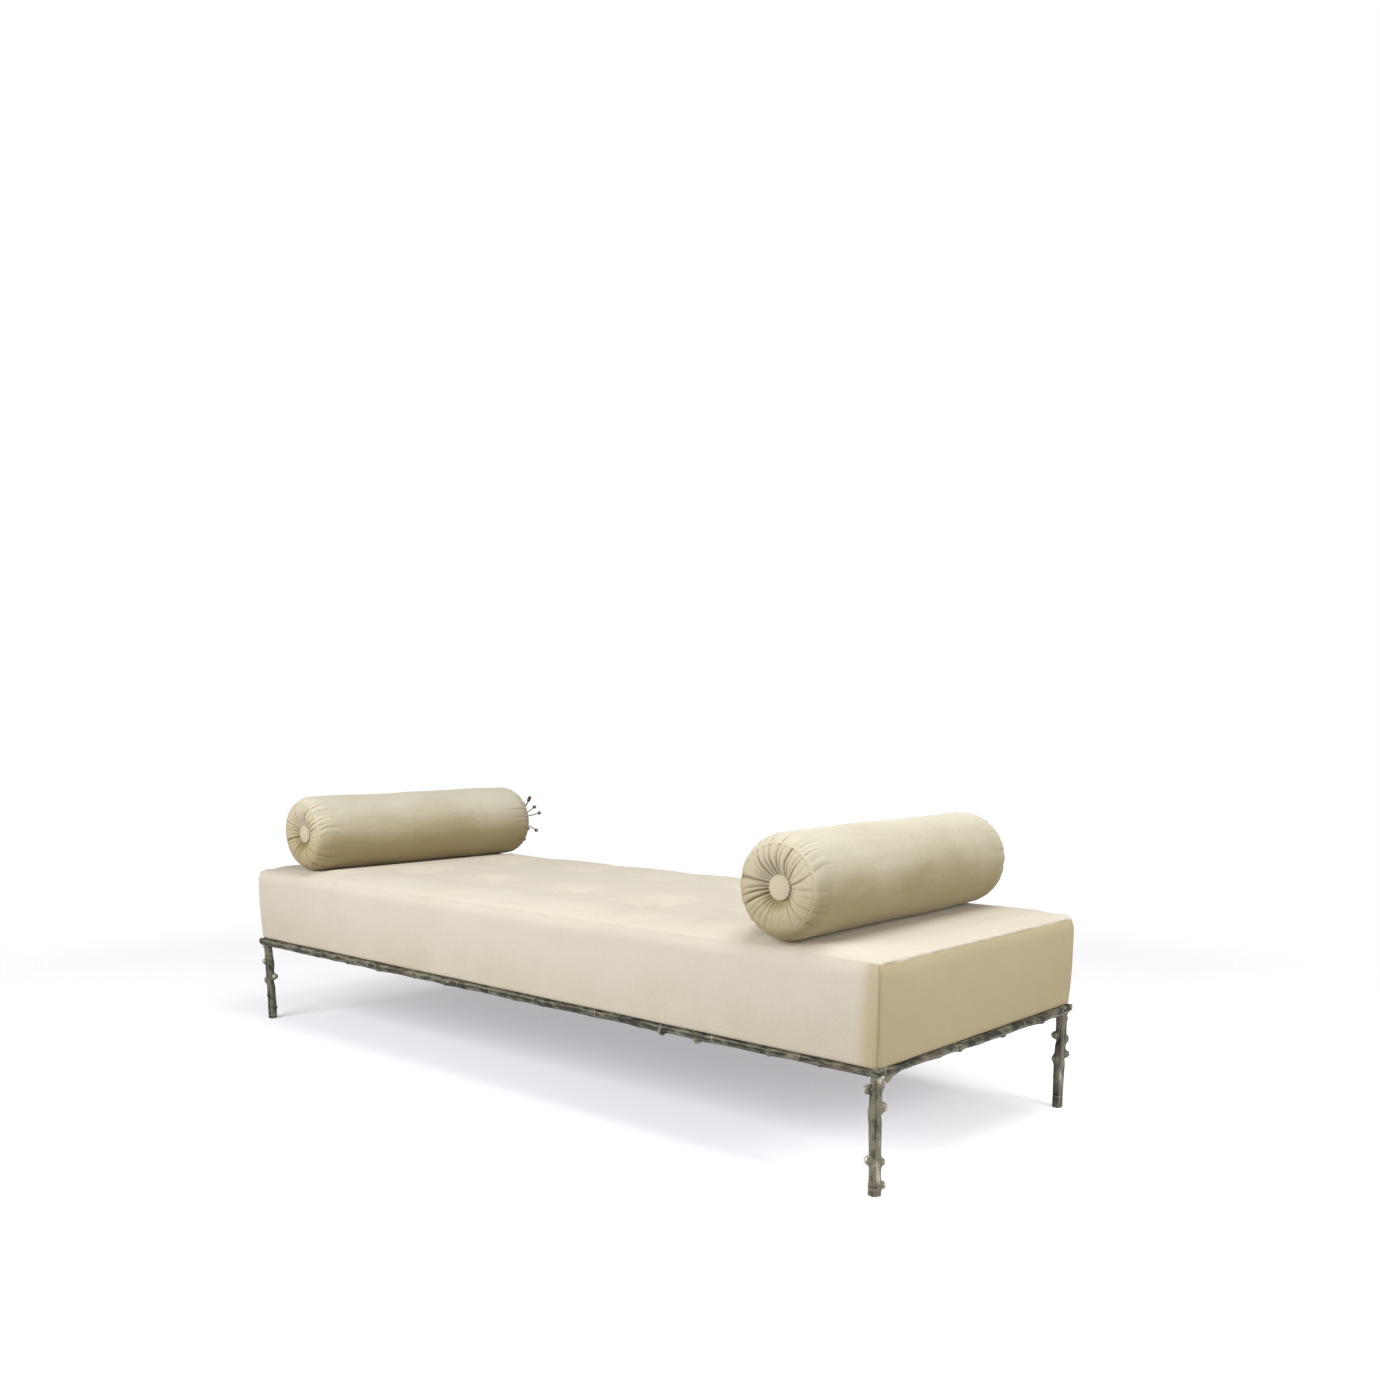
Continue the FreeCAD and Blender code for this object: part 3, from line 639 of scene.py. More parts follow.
# %% Nap and painted shade of the seat's cloth
def paint_seat(mesh, flat):
    """Short ends cut across the pile; painted shade on the ends, low on the band, by the near right corner,
    in seams, tufts and under the bolsters.
    """
    x, y, run = flat.T
    over_x = np.abs(x) - half_x + corner_radius
    over_y = np.abs(y) - half_y + corner_radius
    turn = np.degrees(np.arctan2(np.maximum(over_y, 0), np.maximum(over_x, 1e-9)))
    on_end = (over_x > 0) & (turn < corner_seam_turn)
    # Painted shade: the band deepens towards its bottom, and the short ends are deeper partly for their
    # turned pile and partly as painted shade.
    lower = 0.22 * ramp(run, 0.02, 0.19)
    # A painted shade strip down the front beside the near right corner.
    corner_shade_strip = hill(np.minimum(over_x, 0), 0.022) * ~on_end * (run > 0) * (y < 0) * (x > 0)
    nap = np.where(run > 0, 0.16 + lower + 0.72 * on_end, 0.16)
    paint(mesh, "nap", np.clip(nap + 0.55 * corner_shade_strip, 0, 1))
    inside = np.maximum(edge_distance(x, y, corner_radius), 0)
    at_corner = (over_x > 0) & (over_y > 0) & (run > 0)
    # A painted dark shade line down the corner seam.
    corner_seam = hill((turn - corner_seam_turn) * math.radians(corner_radius), 0.0018) * at_corner
    # Painted contact shadow on the top where the bolsters lie.
    contact_shade = contact_shade_of_bolsters(x, y) * (run == 0)
    seam = hill(run, 0.002) * hill(inside, 0.002)
    ends = near_ends(x)
    # Painted shade in the tuft dimples.
    dimple = 0.45 * np.clip(tuft_pull(x, y) / tuft_depth - 0.35, 0, 1) * (run == 0)
    patchy = 0.5 + 0.5 * soft_noise(flat, 0.05, 12)
    seam_shade = (0.10 + 0.40 * ends) * np.clip(patchy, 0, 1) * seam
    paint(mesh, "crease", np.clip(seam_shade + dimple + 0.45 * corner_seam + 0.07 * contact_shade, 0, 1))


paint_seat(seat_mesh, flat_seat)
seat_soft = ("seat_cover_top", "seat_cover_band", "seat_foam",
             "side_pad_front", "side_pad_back", "side_pad_left", "side_pad_right")
seat_cover = add_piece(seat_mesh, seat_velvet, "divan", "velvet", *seat_soft)

# %% [markdown]
# ## The bolsters
# A bolster is a tube of velvet, stuffed round, with a strip of cloth at each end that is gathered to
# a covered button. A grid is rolled into that form, and its points are then pushed into pleats: deep
# beside the button, shallow at the seam, and a few run past the seam as puckers on the barrel.

# %% Sizes of the bolsters, as in the frame, and their places
barrel_radius = 0.103
bolster_half = 0.380
shoulder = 0.048
seam_radius = 0.083
seam_depth = 0.009
rim_radius = 0.062
button_radius = 0.025
button_sunk = 0.021
around_steps = 450


def bolster_place(side):
    """A matrix from the bolster's own axes, with its length on Y, to its place on the seat."""
    points = points_of(nodes[f"{side}_bolster_tie"].data)
    near = points[points[:, 1] < points[:, 1].min() + 0.003].mean(axis=0)
    far = points[points[:, 1] > points[:, 1].max() - 0.003].mean(axis=0)
    run = far - near
    turn = math.atan2(-run[0], run[1])
    return Matrix.Translation(Vector((near + far) / 2)) @ Matrix.Rotation(turn, 4, "Z")


# %% The profile of half a bolster
def end_profile():
    """Points of radius and place from the end's middle, over the rim, to the barrel's start."""
    points = [(0.0, bolster_half - button_sunk)]
    for radius in np.linspace(0.018, rim_radius, 30):
        share = (radius - 0.018) / (rim_radius - 0.018)
        points.append((radius, bolster_half - button_sunk * (1 - math.sin(share * math.pi / 2) ** 1.3)))
    for turn in np.linspace(0, math.pi / 2, 38)[1:]:
        radius = rim_radius + (barrel_radius - rim_radius) * math.sin(turn)
        points.append((radius, bolster_half - shoulder * (1 - math.cos(turn))))
    return points


def rolled_bolster(name):
    """A closed bolster about the Y axis: a flat grid, rolled so that its rows follow the profile."""
    end = end_profile()
    start = end[-1][1]
    middle = [(barrel_radius, along) for along in np.linspace(start, -start, 86)[1:-1]]
    outline = end + middle + [(radius, -along) for radius, along in reversed(end)]
    last = len(outline) - 1
    tool, places = unit_grid(around_steps, last)
    for vert, (column, row) in zip(tool.verts, places):
        turn = (column + 1) * math.pi
        radius, along = outline[round((row + 1) / 2 * last)]
        vert.co = (radius * math.cos(turn), along, radius * math.sin(turn))
    return make_mesh(tool, name)


# %% Pleats
def pleat_phase(angle, count, seed):
    """A number that grows by one from pleat to pleat, with pleats of uneven width."""
    chance = np.random.default_rng(seed)
    widths = chance.uniform(0.55, 1.45, count)
    edges = np.concatenate([[0], np.cumsum(widths)]) / widths.sum() * 2 * math.pi
    return np.interp(angle % (2 * math.pi), edges, np.arange(count + 1.0))


def pleat_depth(phase, seed, count):
    """Depth of the folds: sharp valleys between round ridges, each pleat of its own strength."""
    chance = np.random.default_rng(seed + 50)
    strengths = chance.uniform(0.25, 1.25, count + 1)
    strengths[-1] = strengths[0]
    valley = 1 - np.abs(np.sin(math.pi * phase)) ** 0.38
    return valley * np.interp(phase, np.arange(count + 1.0), strengths)


def per_pleat(phase, seed, count, least, most):
    """A random number for each pleat, for the folds that run further than others."""
    numbers = np.random.default_rng(seed).uniform(least, most, count)
    return numbers[np.round(phase).astype(int) % count]


def pleat_field(points, seed, count, calm_below):
    """Pleat phase and strength for one end of a bolster. calm_below softens the folds at the bottom."""
    x, along, z = points.T
    radius = np.hypot(x, z)
    angle = np.arctan2(z, x)
    out = np.clip((radius - button_radius) / (seam_radius - button_radius), 0, 1.3)
    bend = 0.10 * np.sin(angle * 2 + seed) + 0.07 * np.sin(angle * 5 + 2 * seed)
    phase = pleat_phase(angle + bend * out**1.5, count, seed)
    calm = 1 - calm_below * ramp(-np.sin(angle), 0.35, 0.95)
    return radius, out, phase, calm


pleat_depth_most = 0.0095
pleated_length = 0.14
seam_groove = 0.0009


def pleat_bolster(points, seed, count, calm_below, pucker_run, pucker_depth):
    """Push the pleats, the puckers and the soft dents into a bolster's points."""
    shaped = points.copy()
    crease = np.zeros(len(points))
    for end, end_seed in ((-1, seed), (1, seed + 7)):
        here = points[:, 1] * end > bolster_half - pleated_length
        some = points[here]
        radius, out, phase, calm = pleat_field(some, end_seed, count, calm_below)
        fold = pleat_depth(phase, end_seed, count)
        past = np.maximum(bolster_half - seam_depth - some[:, 1] * end, 0)
        on_end = (radius < seam_radius + 1e-5) & (past < 0.02)
        reach = per_pleat(phase, end_seed + 60, count, 0.65, 1.30)
        fading = 1 - 0.68 * ramp(out, reach - 0.60, reach + 0.1)
        strength = ramp(radius, 0.016, 0.030) * fading * calm * on_end
        shaped[here, 1] -= end * pleat_depth_most * strength * fold
        small = np.abs(np.sin(2 * math.pi * phase + 1.3)) * ramp(out, 0.45, 0.8)
        shaped[here, 1] -= end * np.where(on_end, 0.0007 * small * calm, 0)
        seam = hill(past, 0.0022) * hill(radius - seam_radius, 0.0022)
        reach = pucker_run * per_pleat(phase, end_seed + 61, count, 0.35, 1.30)
        pucker = pucker_depth * (0.5 * fold + 0.5 * fold**0.5) * hill(past, reach)
        pucker *= ramp(past, 0.0, 0.004) * calm
        inward = seam_groove * seam + pucker
        scale = 1 - inward / np.maximum(radius, 0.01)
        shaped[here, 0] *= np.where(on_end, 1, scale)
        shaped[here, 2] *= np.where(on_end, 1, scale)
        # Painted shade in the pleat valleys, along the end seam and in the puckers.
        shade = 1.7 * fold**1.9 * strength + 0.30 * seam * on_end
        shade += 1.2 * fold**1.7 * pucker / pucker_depth
        crease[here] = np.maximum(crease[here], np.clip(shade, 0, 1))
    wobble = 0.0010 * soft_noise(points, 0.22, seed + 20) + 0.0004 * soft_noise(points, 0.07, seed + 21)
    barrel = ramp(bolster_half - np.abs(points[:, 1]), 0.01, 0.06)
    scale = 1 + wobble * barrel / np.maximum(np.hypot(points[:, 0], points[:, 2]), 0.02)
    shaped[:, [0, 2]] *= scale[:, None]
    return shaped, crease


# %% Put the bolsters on the seat
rest_height = top_high.z


def placed(points, place):
    """Points moved from the bolster's own axes to the seat."""
    return np.array([place @ Vector(point) for point in points])


def add_bolster(side, top_shade, seed, count, **folds):
    """One stuffed bolster: its skin stands for the barrel, the ends and the filling."""
    mesh = rolled_bolster(f"{side}_bolster")
    points = points_of(mesh)
    shaped, crease = pleat_bolster(points, seed, count, **folds)
    turned = placed(shaped, bolster_place(side))
    low = rest_height + 0.0008 + 0.25 * np.maximum(turned[:, 2] - rest_height - 0.0008, 0)
    sink = turned[:, 2] < rest_height + 0.0022
    turned[:, 2] = np.where(sink, np.maximum(turned[:, 2], low), turned[:, 2])
    move_points(mesh, turned)
    up = points[:, 2] / np.maximum(np.hypot(points[:, 0], points[:, 2]), 0.01)
    round_barrel = ramp(bolster_half - np.abs(points[:, 1]), 0.0, 0.02)
    # Painted shade along the underside of the barrel, where it lies on the seat.
    paint(mesh, "crease", np.maximum(crease, 0.30 * ramp(-up, 0.90, 0.99) * round_barrel))
    # Painted shade by which way the cloth faces: paler on top, deeper underneath, on the barrel and on the
    # end faces; a number given per bolster sets how pale its top is.
    barrel_nap_and_shade = 0.70 - (0.66 - top_shade) * up
    face_nap_and_shade = 0.42 - 0.30 * up * ramp(np.hypot(points[:, 0], points[:, 2]), 0.02, 0.06)
    paint(mesh, "nap", face_nap_and_shade + (barrel_nap_and_shade - face_nap_and_shade) * round_barrel)
    paint(mesh, "warm", 0.32 * (1 - round_barrel))
    names = [f"{side}_bolster_{part}" for part in ("barrel", "core", "end_front", "end_back")]
    piece = add_piece(mesh, bolster_velvet, f"bolster_{side}", "velvet", *names)


add_bolster("left", -0.04, 11, 30, calm_below=0.25, pucker_run=0.056, pucker_depth=0.0068)
add_bolster("right", 0.13, 4, 31, calm_below=0.7, pucker_run=0.044, pucker_depth=0.0052)

# %% [markdown]
# ## Covered buttons
# A covered button is a domed disc with cloth drawn round its edge. A profile is spun into its dome, and
# the cloth's small tucks go round its rim.

# %% Buttons
def add_button(side, end, seed):
    """A domed button, 1 mm proud of its CAD disc, with small tucks round its edge."""
    node = f"{side}_bolster_button_{'front' if end < 0 else 'back'}"
    tool = bmesh.new()
    base = bolster_half - button_sunk
    outline = [(0.0, base - 0.001), (button_radius - 0.002, base - 0.001)]
    for turn in np.linspace(-0.5, 1, 9) * math.pi / 2:
        outline.append((button_radius - 0.003 + 0.003 * math.cos(turn),
                        base + 0.004 + 0.003 * math.sin(turn)))
    for share in np.linspace(0, 1, 12)[1:]:
        radius = (button_radius - 0.003) * (1 - share)
        outline.append((radius, base + 0.007 + 0.004 * math.cos((1 - share) * math.pi / 2)))
    verts = [tool.verts.new((radius, along, 0.0)) for radius, along in outline]
    edges = [tool.edges.new(pair) for pair in zip(verts, verts[1:])]
    bmesh.ops.spin(tool, geom=verts + edges, cent=(0, 0, 0), axis=(0, 1, 0), angle=2 * math.pi,
                   steps=120, use_merge=True, use_duplicate=False)
    mesh = make_mesh(tool, node)
    points = points_of(mesh)
    radius = np.hypot(points[:, 0], points[:, 2])
    angle = np.arctan2(points[:, 2], points[:, 0])
    tuck = np.abs(np.sin(angle * 12 + 0.6 * np.sin(3 * angle + seed)))
    edge = hill(radius - button_radius, 0.004)
    scale = 1 - 0.0006 * tuck * edge / np.maximum(radius, 0.001)
    points[:, [0, 2]] *= scale[:, None]
    points[:, 1] += 0.0006 * soft_noise(points, 0.03, seed)
    points[:, 1] *= end
    move_points(mesh, placed(points, bolster_place(side)))
    if end < 0:
        mesh.flip_normals()
    # Painted shade round the button's edge, in its tucks and at its base.
    paint(mesh, "crease", 0.25 * edge * tuck + 0.3 * (points[:, 1] * end < base + 0.003))
    paint(mesh, "nap", np.full(len(points), 0.17))
    paint(mesh, "warm", np.full(len(points), 0.32))
    mesh.name = node + "_cloth"
    piece = add_piece(mesh, bolster_velvet, f"bolster_{side}", "velvet", node)


for side, end, seed in (("left", -1, 1), ("right", -1, 2), ("right", 1, 3)):
    add_button(side, end, seed)

# %% [markdown]
# ## Cast twigs
# The rails and legs are bronze castings of real branches. Their lines, knots and buds are in the frame, so
# each one starts as a copy of its node. A voxel remesh turns the copy into one even skin, where a bud
# grows out of its branch instead of being stuck on. Then bark ridges, rings at the knots and cut
# faces on the buds are pushed in, point by point.

# %% A branch's own line, measured from its mesh
def even_skin(node, voxel, extra=None):
    """A merged copy of a node's mesh, remeshed to one closed skin of small even faces."""
    tool = bmesh.new()
    tool.from_mesh(nodes[node].data)
    merge_doubles(tool)
    if extra is not None:
        extra(tool)
    mesh = raw_mesh(tool, node + "_twig")
    helper = put_in_scene(node + "_helper", mesh)
    remesh = helper.modifiers.new("skin", "REMESH")
    remesh.mode = "VOXEL"
    remesh.voxel_size = voxel
    evaluated = helper.evaluated_get(bpy.context.evaluated_depsgraph_get())
    skin = bpy.data.meshes.new_from_object(evaluated)
    bpy.data.objects.remove(helper)
    bpy.data.meshes.remove(mesh)
    skin.name = node + "_twig"
    return skin


slice_length = 0.045
least_bud = 0.0034
bud_spacing = 0.020


def across(axis):
    """The two axes across a branch."""
    return [side for side in range(3) if side != axis]


def branch_line(points, axis):
    """The middle of a branch, and its usual radius, at each slice along an axis."""
    along = points[:, axis]
    edges = np.arange(along.min(), along.max() + slice_length, slice_length)
    places, middles, radii = [], [], []
    for low, high in zip(edges, edges[1:]):
        some = points[(along >= low) & (along < high)]
        if len(some) < 12:
            continue
        middle = np.median(some, axis=0)
        spans = np.delete(some - middle, axis, axis=1)
        places.append((low + high) / 2)
        middles.append(middle)
        radii.append(np.percentile(np.hypot(*spans.T), 40))
    return np.array(places), np.array(middles), np.array(radii)


def around_branch(points, axis, line):
    """Place along a branch, distance from its middle, angle round it, and its usual radius there."""
    places, middles, radii = line
    along = points[:, axis]
    away = [points[:, side] - np.interp(along, places, middles[:, side]) for side in across(axis)]
    distance = np.hypot(*away)
    usual = np.interp(along, places, radii)
    return along, distance, np.arctan2(away[1], away[0]), usual


# %% Bark
def bark(along, angle, seed, rings):
    """Height of the bark in metres: ridges along the branch, pits, and collars where leaves once sat."""
    chance = np.random.default_rng(seed)
    around = np.stack([np.cos(angle), np.sin(angle)], axis=1) * 0.0115
    twist = along * 0.8
    ridges = np.zeros(len(along))
    for waves, size in ((3, 0.00012), (7, 0.00010), (13, 0.00008)):
        phase = chance.uniform(0, 2 * math.pi)
        drift = 0.30 * np.sin(along * 14 + phase) + 0.12 * np.sin(along * 47 + 2 * phase)
        ridges += size * np.sin(waves * angle + twist + drift + phase)
    drawn_out = np.column_stack([along * 0.45, around])
    ridges += 0.00014 * soft_noise(drawn_out, 0.012, seed + 1, 20)
    ridges += 0.00008 * soft_noise(np.column_stack([along, around]), 0.0035, seed + 2, 24)
    for ring in rings:
        slant = 0.0022 * np.cos(angle + ring * 40) + 0.0008 * np.sin(3 * angle + ring * 70)
        off = along - ring - slant
        ridges += 0.00045 * hill(off, 0.0020) - 0.0002 * hill(off - 0.0040, 0.002)
    return ridges


def ring_places(along, spacing, seed):
    """Places of the leaf rings along a branch, roughly evenly spread."""
    chance = np.random.default_rng(seed)
    low, high = along.min() + 0.02, along.max() - 0.02
    count = max(int((high - low) / spacing), 2)
    return np.linspace(low, high, count) + chance.uniform(-0.3, 0.3, count) * spacing


def find_buds(points, distance, usual):
    """The outermost point of every bud: what stands furthest off the branch in its neighbourhood."""
    standing = distance - usual
    far = np.flatnonzero(standing > least_bud)
    buds = []
    for index in far[np.argsort(-standing[far])]:
        if all(np.linalg.norm(points[index] - points[bud]) > bud_spacing for bud in buds):
            buds.append(index)
    return buds


def swell_buds(points, normals, buds, more):
    """Swell every bud to a round knob with a rim and a small hollow, as where a shoot was cut off."""
    moved = points.copy()
    height = np.zeros(len(points))
    for bud in buds:
        out = normals[bud]
        reach = points - points[bud]
        deep = -(reach @ out)
        aside = np.linalg.norm(reach + deep[:, None] * out, axis=1)
        near = ramp(-deep, -0.009, -0.004)
        moved += out * (more * hill(aside, 0.0075) * near)[:, None]
        moved += normals * (0.45 * more * hill(aside - 0.006, 0.004) * near)[:, None]
        rim = hill(aside - 0.0042, 0.0011) * near
        hollow = hill(aside, 0.0022) * near
        moved += out * (0.0006 * rim - 0.0007 * hollow)[:, None]
        height += 0.0007 * rim - 0.0005 * hollow + 0.0004 * hill(aside, 0.008) * near
    return moved, height


# %% Make a twig from its node
def straighten(points, axis, line, share):
    """Shift a branch sideways so that its middle comes nearer to the straight line between its ends."""
    places, middles, _ = line
    along = points[:, axis]
    moved = points.copy()
    for side in across(axis):
        middle = np.interp(along, places, middles[:, side])
        straight = np.interp(along, (places[0], places[-1]), (middles[0, side], middles[-1, side]))
        moved[:, side] += share * (straight - middle)
    return moved


def calm_bumps(points, axis, line, share):
    """Smooth the low bumps of a branch towards its usual radius and leave the tall knots standing."""
    places, middles, _ = line
    along, distance, _, usual = around_branch(points, axis, line)
    standing = distance - usual
    low = share * standing * (1 - ramp(np.abs(standing), 0.0012, 0.0034))
    scale = 1 - low / np.maximum(distance, 1e-4)
    moved = points.copy()
    for side in across(axis):
        middle = np.interp(along, places, middles[:, side])
        moved[:, side] = middle + (points[:, side] - middle) * scale
    return moved


def add_twig(node, axis, seed, voxel, spacing, knob, worn, straight, calm, extra=None):
    """A cast branch in place of a node, with bark, rings, round buds and worn high spots."""
    mesh = even_skin(node, voxel, extra)
    points = points_of(mesh)
    points = straighten(points, axis, branch_line(points, axis), straight)
    line = branch_line(points, axis)
    points = calm_bumps(points, axis, line, calm)
    move_points(mesh, points)
    along, distance, angle, usual = around_branch(points, axis, line)
    normals = np.empty(len(points) * 3)
    mesh.vertex_normals.foreach_get("vector", normals)
    normals = normals.reshape(-1, 3)
    buds = find_buds(points, distance, usual)
    moved, cut = swell_buds(points, normals, buds, knob)
    rings = ring_places(along, spacing, seed)
    height = bark(along, angle, seed, rings)
    moved += normals * height[:, None]
    move_points(mesh, moved)
    swelling = np.clip((distance - usual) / 0.003, -0.5, 1.0)
    rubbed = ramp(soft_noise(points, 0.16, seed + 4), 0.7, 1.3)
    wear = worn + (800 + 500 * rubbed) * height + 500 * cut + 0.22 * swelling + 0.26 * rubbed
    wear += 0.10 * soft_noise(points, 0.05, seed + 3)
    paint(mesh, "wear", np.clip(wear, 0, 1))
    mesh.shade_smooth()
    add_piece(mesh, twig_bronze, "divan", "twig_bronze", node)
    print(f"  {len(buds)} buds, {len(rings)} rings")


# %% [markdown]
# ## The bronze
# Cast bronze with a grey-green patina: dark brown in the hollows of the bark, pale and a little
# brassy where hands and cloths have rubbed the high spots. The wear is stored on the points while the
# bark is made, so the material knows what is high. Fine noise breaks it up.

# %% Bronze
def make_bronze(name, dark, middle, worn):
    """Patinated bronze: a ramp from the hollows' colour to the worn one."""
    finish = Finish(name, metallic=0.25, roughness=0.5, specular_ior_level=0.35)
    blotches = finish.noise(60.0, 4.0, roughness=0.6)
    grain = finish.noise(900.0, 2.0)
    high = finish.painted("wear") + (blotches - 0.5) * 0.40 + (grain - 0.5) * 0.25
    stops = [(0.10, dark), (0.42, middle), (0.72, middle), (0.98, worn)]
    colour = finish.node("ValToRGB", {"stops": stops}, {0: high})
    warm = finish.noise(11.0, 2.0).between(0.55, 0.75)
    finish.feed(base_color=finish.mix(warm * 0.35, colour, (0.17, 0.115, 0.07)))
    finish.feed(roughness=0.66 - high * 0.30)
    finish.feed(normal=finish.relief(grain + blotches * 2.0, 0.0003, 0.5))
    return finish.material


twig_bronze = make_bronze(
    "twig_bronze", dark=(0.022, 0.021, 0.014), middle=(0.195, 0.188, 0.132), worn=(0.62, 0.60, 0.49))

# %% Rails and legs
def fork(tool):
    """The web under the right rail at the near corner, where it parts from the leg like a branch."""
    for step in range(13):
        share = step / 12
        place = (1.0665, -0.374 + 0.050 * share, 0.2150 + 0.0110 * share**0.7)
        bmesh.ops.create_icosphere(tool, subdivisions=3, radius=0.0085 - 0.0025 * share,
                                   matrix=Matrix.Translation(place))


rail_looks = {"voxel": 0.0016, "spacing": 0.16, "knob": 0.0022, "worn": 0.22,
              "straight": 0.0, "calm": 0.75}
leg_looks = {"voxel": 0.0011, "spacing": 0.11, "knob": 0.0032, "worn": 0.38,
             "straight": 0.9, "calm": 0.6}
for number, side in enumerate(("front", "back", "left", "right")):
    axis = 0 if side in ("front", "back") else 1
    add_twig("rail_" + side, axis, 30 + number, **rail_looks, extra=fork if side == "right" else None)
for number, corner in enumerate(("front_left", "front_right", "back_left", "back_right")):
    add_twig("leg_" + corner, 2, 60 + number, **leg_looks)

# %% [markdown]
# ## The berries
# A spray of small bronze berries stands on thin wire stems round the far end of the left bolster. Each
# takes its place and size from its own shell in the frame's mesh. It gets five faint lobes and, at its
# outer end, the small dried crown that a real berry keeps from its flower.

# %% Berries
def shells_of(mesh):
    """The points of each separate shell of a mesh."""
    tool = bmesh.new()
    tool.from_mesh(mesh)
    merge_doubles(tool)
    waiting = set(tool.verts)
    shells = []
    while waiting:
        stack = [waiting.pop()]
        shell = []
        while stack:
            vert = stack.pop()
            shell.append(tuple(vert.co))
            near = {edge.other_vert(vert) for edge in vert.link_edges} & waiting
            waiting -= near
            stack.extend(near)
        shells.append(np.array(shell))
    tool.free()
    return sorted(shells, key=lambda shell: tuple(shell.min(axis=0).round(5)))


def berry(tool, middle, radius, out):
    """One berry about its stem's direction, with lobes and a crown at the outer end."""
    made = bmesh.ops.create_uvsphere(tool, u_segments=30, v_segments=22, radius=radius)["verts"]
    turn = Vector(out).to_track_quat("Z", "Y").to_matrix()
    for vert in made:
        tilt = math.acos(max(-1.0, min(1.0, vert.co.z / radius)))
        round_it = math.atan2(vert.co.y, vert.co.x)
        grow = 1 + 0.025 * math.cos(5 * round_it) * math.sin(tilt) ** 2
        grow -= 0.22 * math.exp(-((tilt / 0.26) ** 2))
        crown_edge = math.exp(-(((tilt - 0.42) / 0.13) ** 2))
        grow += (0.07 + 0.05 * math.cos(5 * round_it)) * crown_edge
        vert.co = turn @ (vert.co * grow * 0.97) + Vector(middle)


def add_berries():
    tool = bmesh.new()
    hub_low, hub_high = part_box("berry_hub")
    hub = np.array((hub_low + hub_high) / 2)
    shells = shells_of(nodes["berries"].data)
    middles = [(shell.min(axis=0) + shell.max(axis=0)) / 2 for shell in shells]
    for shell, middle in zip(shells, middles):
        radius = (shell[:, 2].max() - shell[:, 2].min()) / 2
        berry(tool, middle, radius, middle - hub + np.array((0, 0.03, 0)))
    mesh = make_mesh(tool, "berries_detailed")
    points = points_of(mesh)
    highest = sorted(middle[2] for middle in middles)[-4]
    paint(mesh, "brown", ramp(points[:, 2], highest - 0.004, highest + 0.004))
    paint(mesh, "wear", 0.45 + 0.3 * soft_noise(points, 0.008, 90))
    add_piece(mesh, berry_bronze, "bolster_left", "berry_bronze", "berries")


def make_berry_bronze():
    """Berry patina: reddish brown on some, grey-green on the rest, polished a little on top."""
    finish = Finish("berry_bronze", metallic=0.35, roughness=0.42)
    blotches = finish.noise(260.0, 3.0)
    high = finish.painted("wear") + (blotches - 0.5) * 0.6
    green = finish.mix(high.between(0.1, 0.9), (0.035, 0.036, 0.028), (0.20, 0.20, 0.155))
    brown = finish.mix(high.between(0.1, 0.9), (0.050, 0.024, 0.012), (0.26, 0.145, 0.075))
    finish.feed(base_color=finish.mix(finish.painted("brown"), green, brown))
    finish.feed(roughness=0.52 - high * 0.2)
    finish.feed(normal=finish.relief(blotches, 0.0002, 0.5))
    return finish.material


berry_bronze = make_berry_bronze()
add_berries()

# %% [markdown]
# ## Under the seat
# A black cloth closes the seat from below. It is stapled all round and lies on the steel ledges and on
# three flat bars, so it is tight there and sags a little between them.

# %% Dust cover
def make_dust_cloth():
    """Black cambric: a fine plain weave, a little dusty."""
    finish = Finish("dust_cloth", roughness=0.95, specular_ior_level=0.1)
    threads = [finish.noise(1500.0, 1.0, stretch) for stretch in ((1.0, 0.06, 1.0), (0.06, 1.0, 1.0))]
    weave = threads[0] + threads[1]
    dust = finish.noise(6.0, 4.0).between(0.45, 0.8)
    cloth = finish.mix((weave - 0.5).between(0.2, 0.8), (0.012, 0.012, 0.013), (0.045, 0.044, 0.043))
    finish.feed(base_color=finish.mix(dust * 0.25, cloth, (0.12, 0.115, 0.105)))
    finish.feed(normal=finish.relief(weave, 0.0002, 0.5))
    return finish.material


ledge_place = 1.03
bar_places = (-ledge_place, -0.535, 0.0, 0.535, ledge_place)
ledge_width = 0.025
sag = 0.0016


def add_dust_cover():
    """A thin cloth that is held all round and sags between what it rests on."""
    low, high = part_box("dust_cover")
    middle, half = (low + high) / 2, (high - low) / 2
    tool, places = unit_grid(220, 76)
    for vert, (x, y) in zip(tool.verts, places):
        vert.co = (middle.x + x * half.x, middle.y + y * half.y, 0.0)
    mesh = make_mesh(tool, "dust_cloth_sheet")
    points = points_of(mesh)
    to_bar = np.min([np.abs(points[:, 0] - bar) for bar in bar_places], axis=0)
    to_ledge = half.y - ledge_width - np.abs(points[:, 1] - middle.y)
    loose = ramp(to_bar, 0.016, 0.11) * ramp(to_ledge, 0.002, 0.11)
    loose *= np.abs(points[:, 0]) < ledge_place
    wave = 1 + 0.35 * soft_noise(points, 0.12, 77)
    points[:, 2] = low.z + 0.0003 - sag * loose * wave
    move_points(mesh, points)
    mesh.flip_normals()
    piece = add_piece(mesh, make_dust_cloth(), "divan", "dust_cloth", "dust_cover")


add_dust_cover()

# %% [markdown]
# ## The pieces that stay as they are
# The wooden seat frame, the deck, the steel ledges, the screws, glides, twines, toggles and stems have the
# right shape in the frame already. They keep their meshes and get materials of their own.

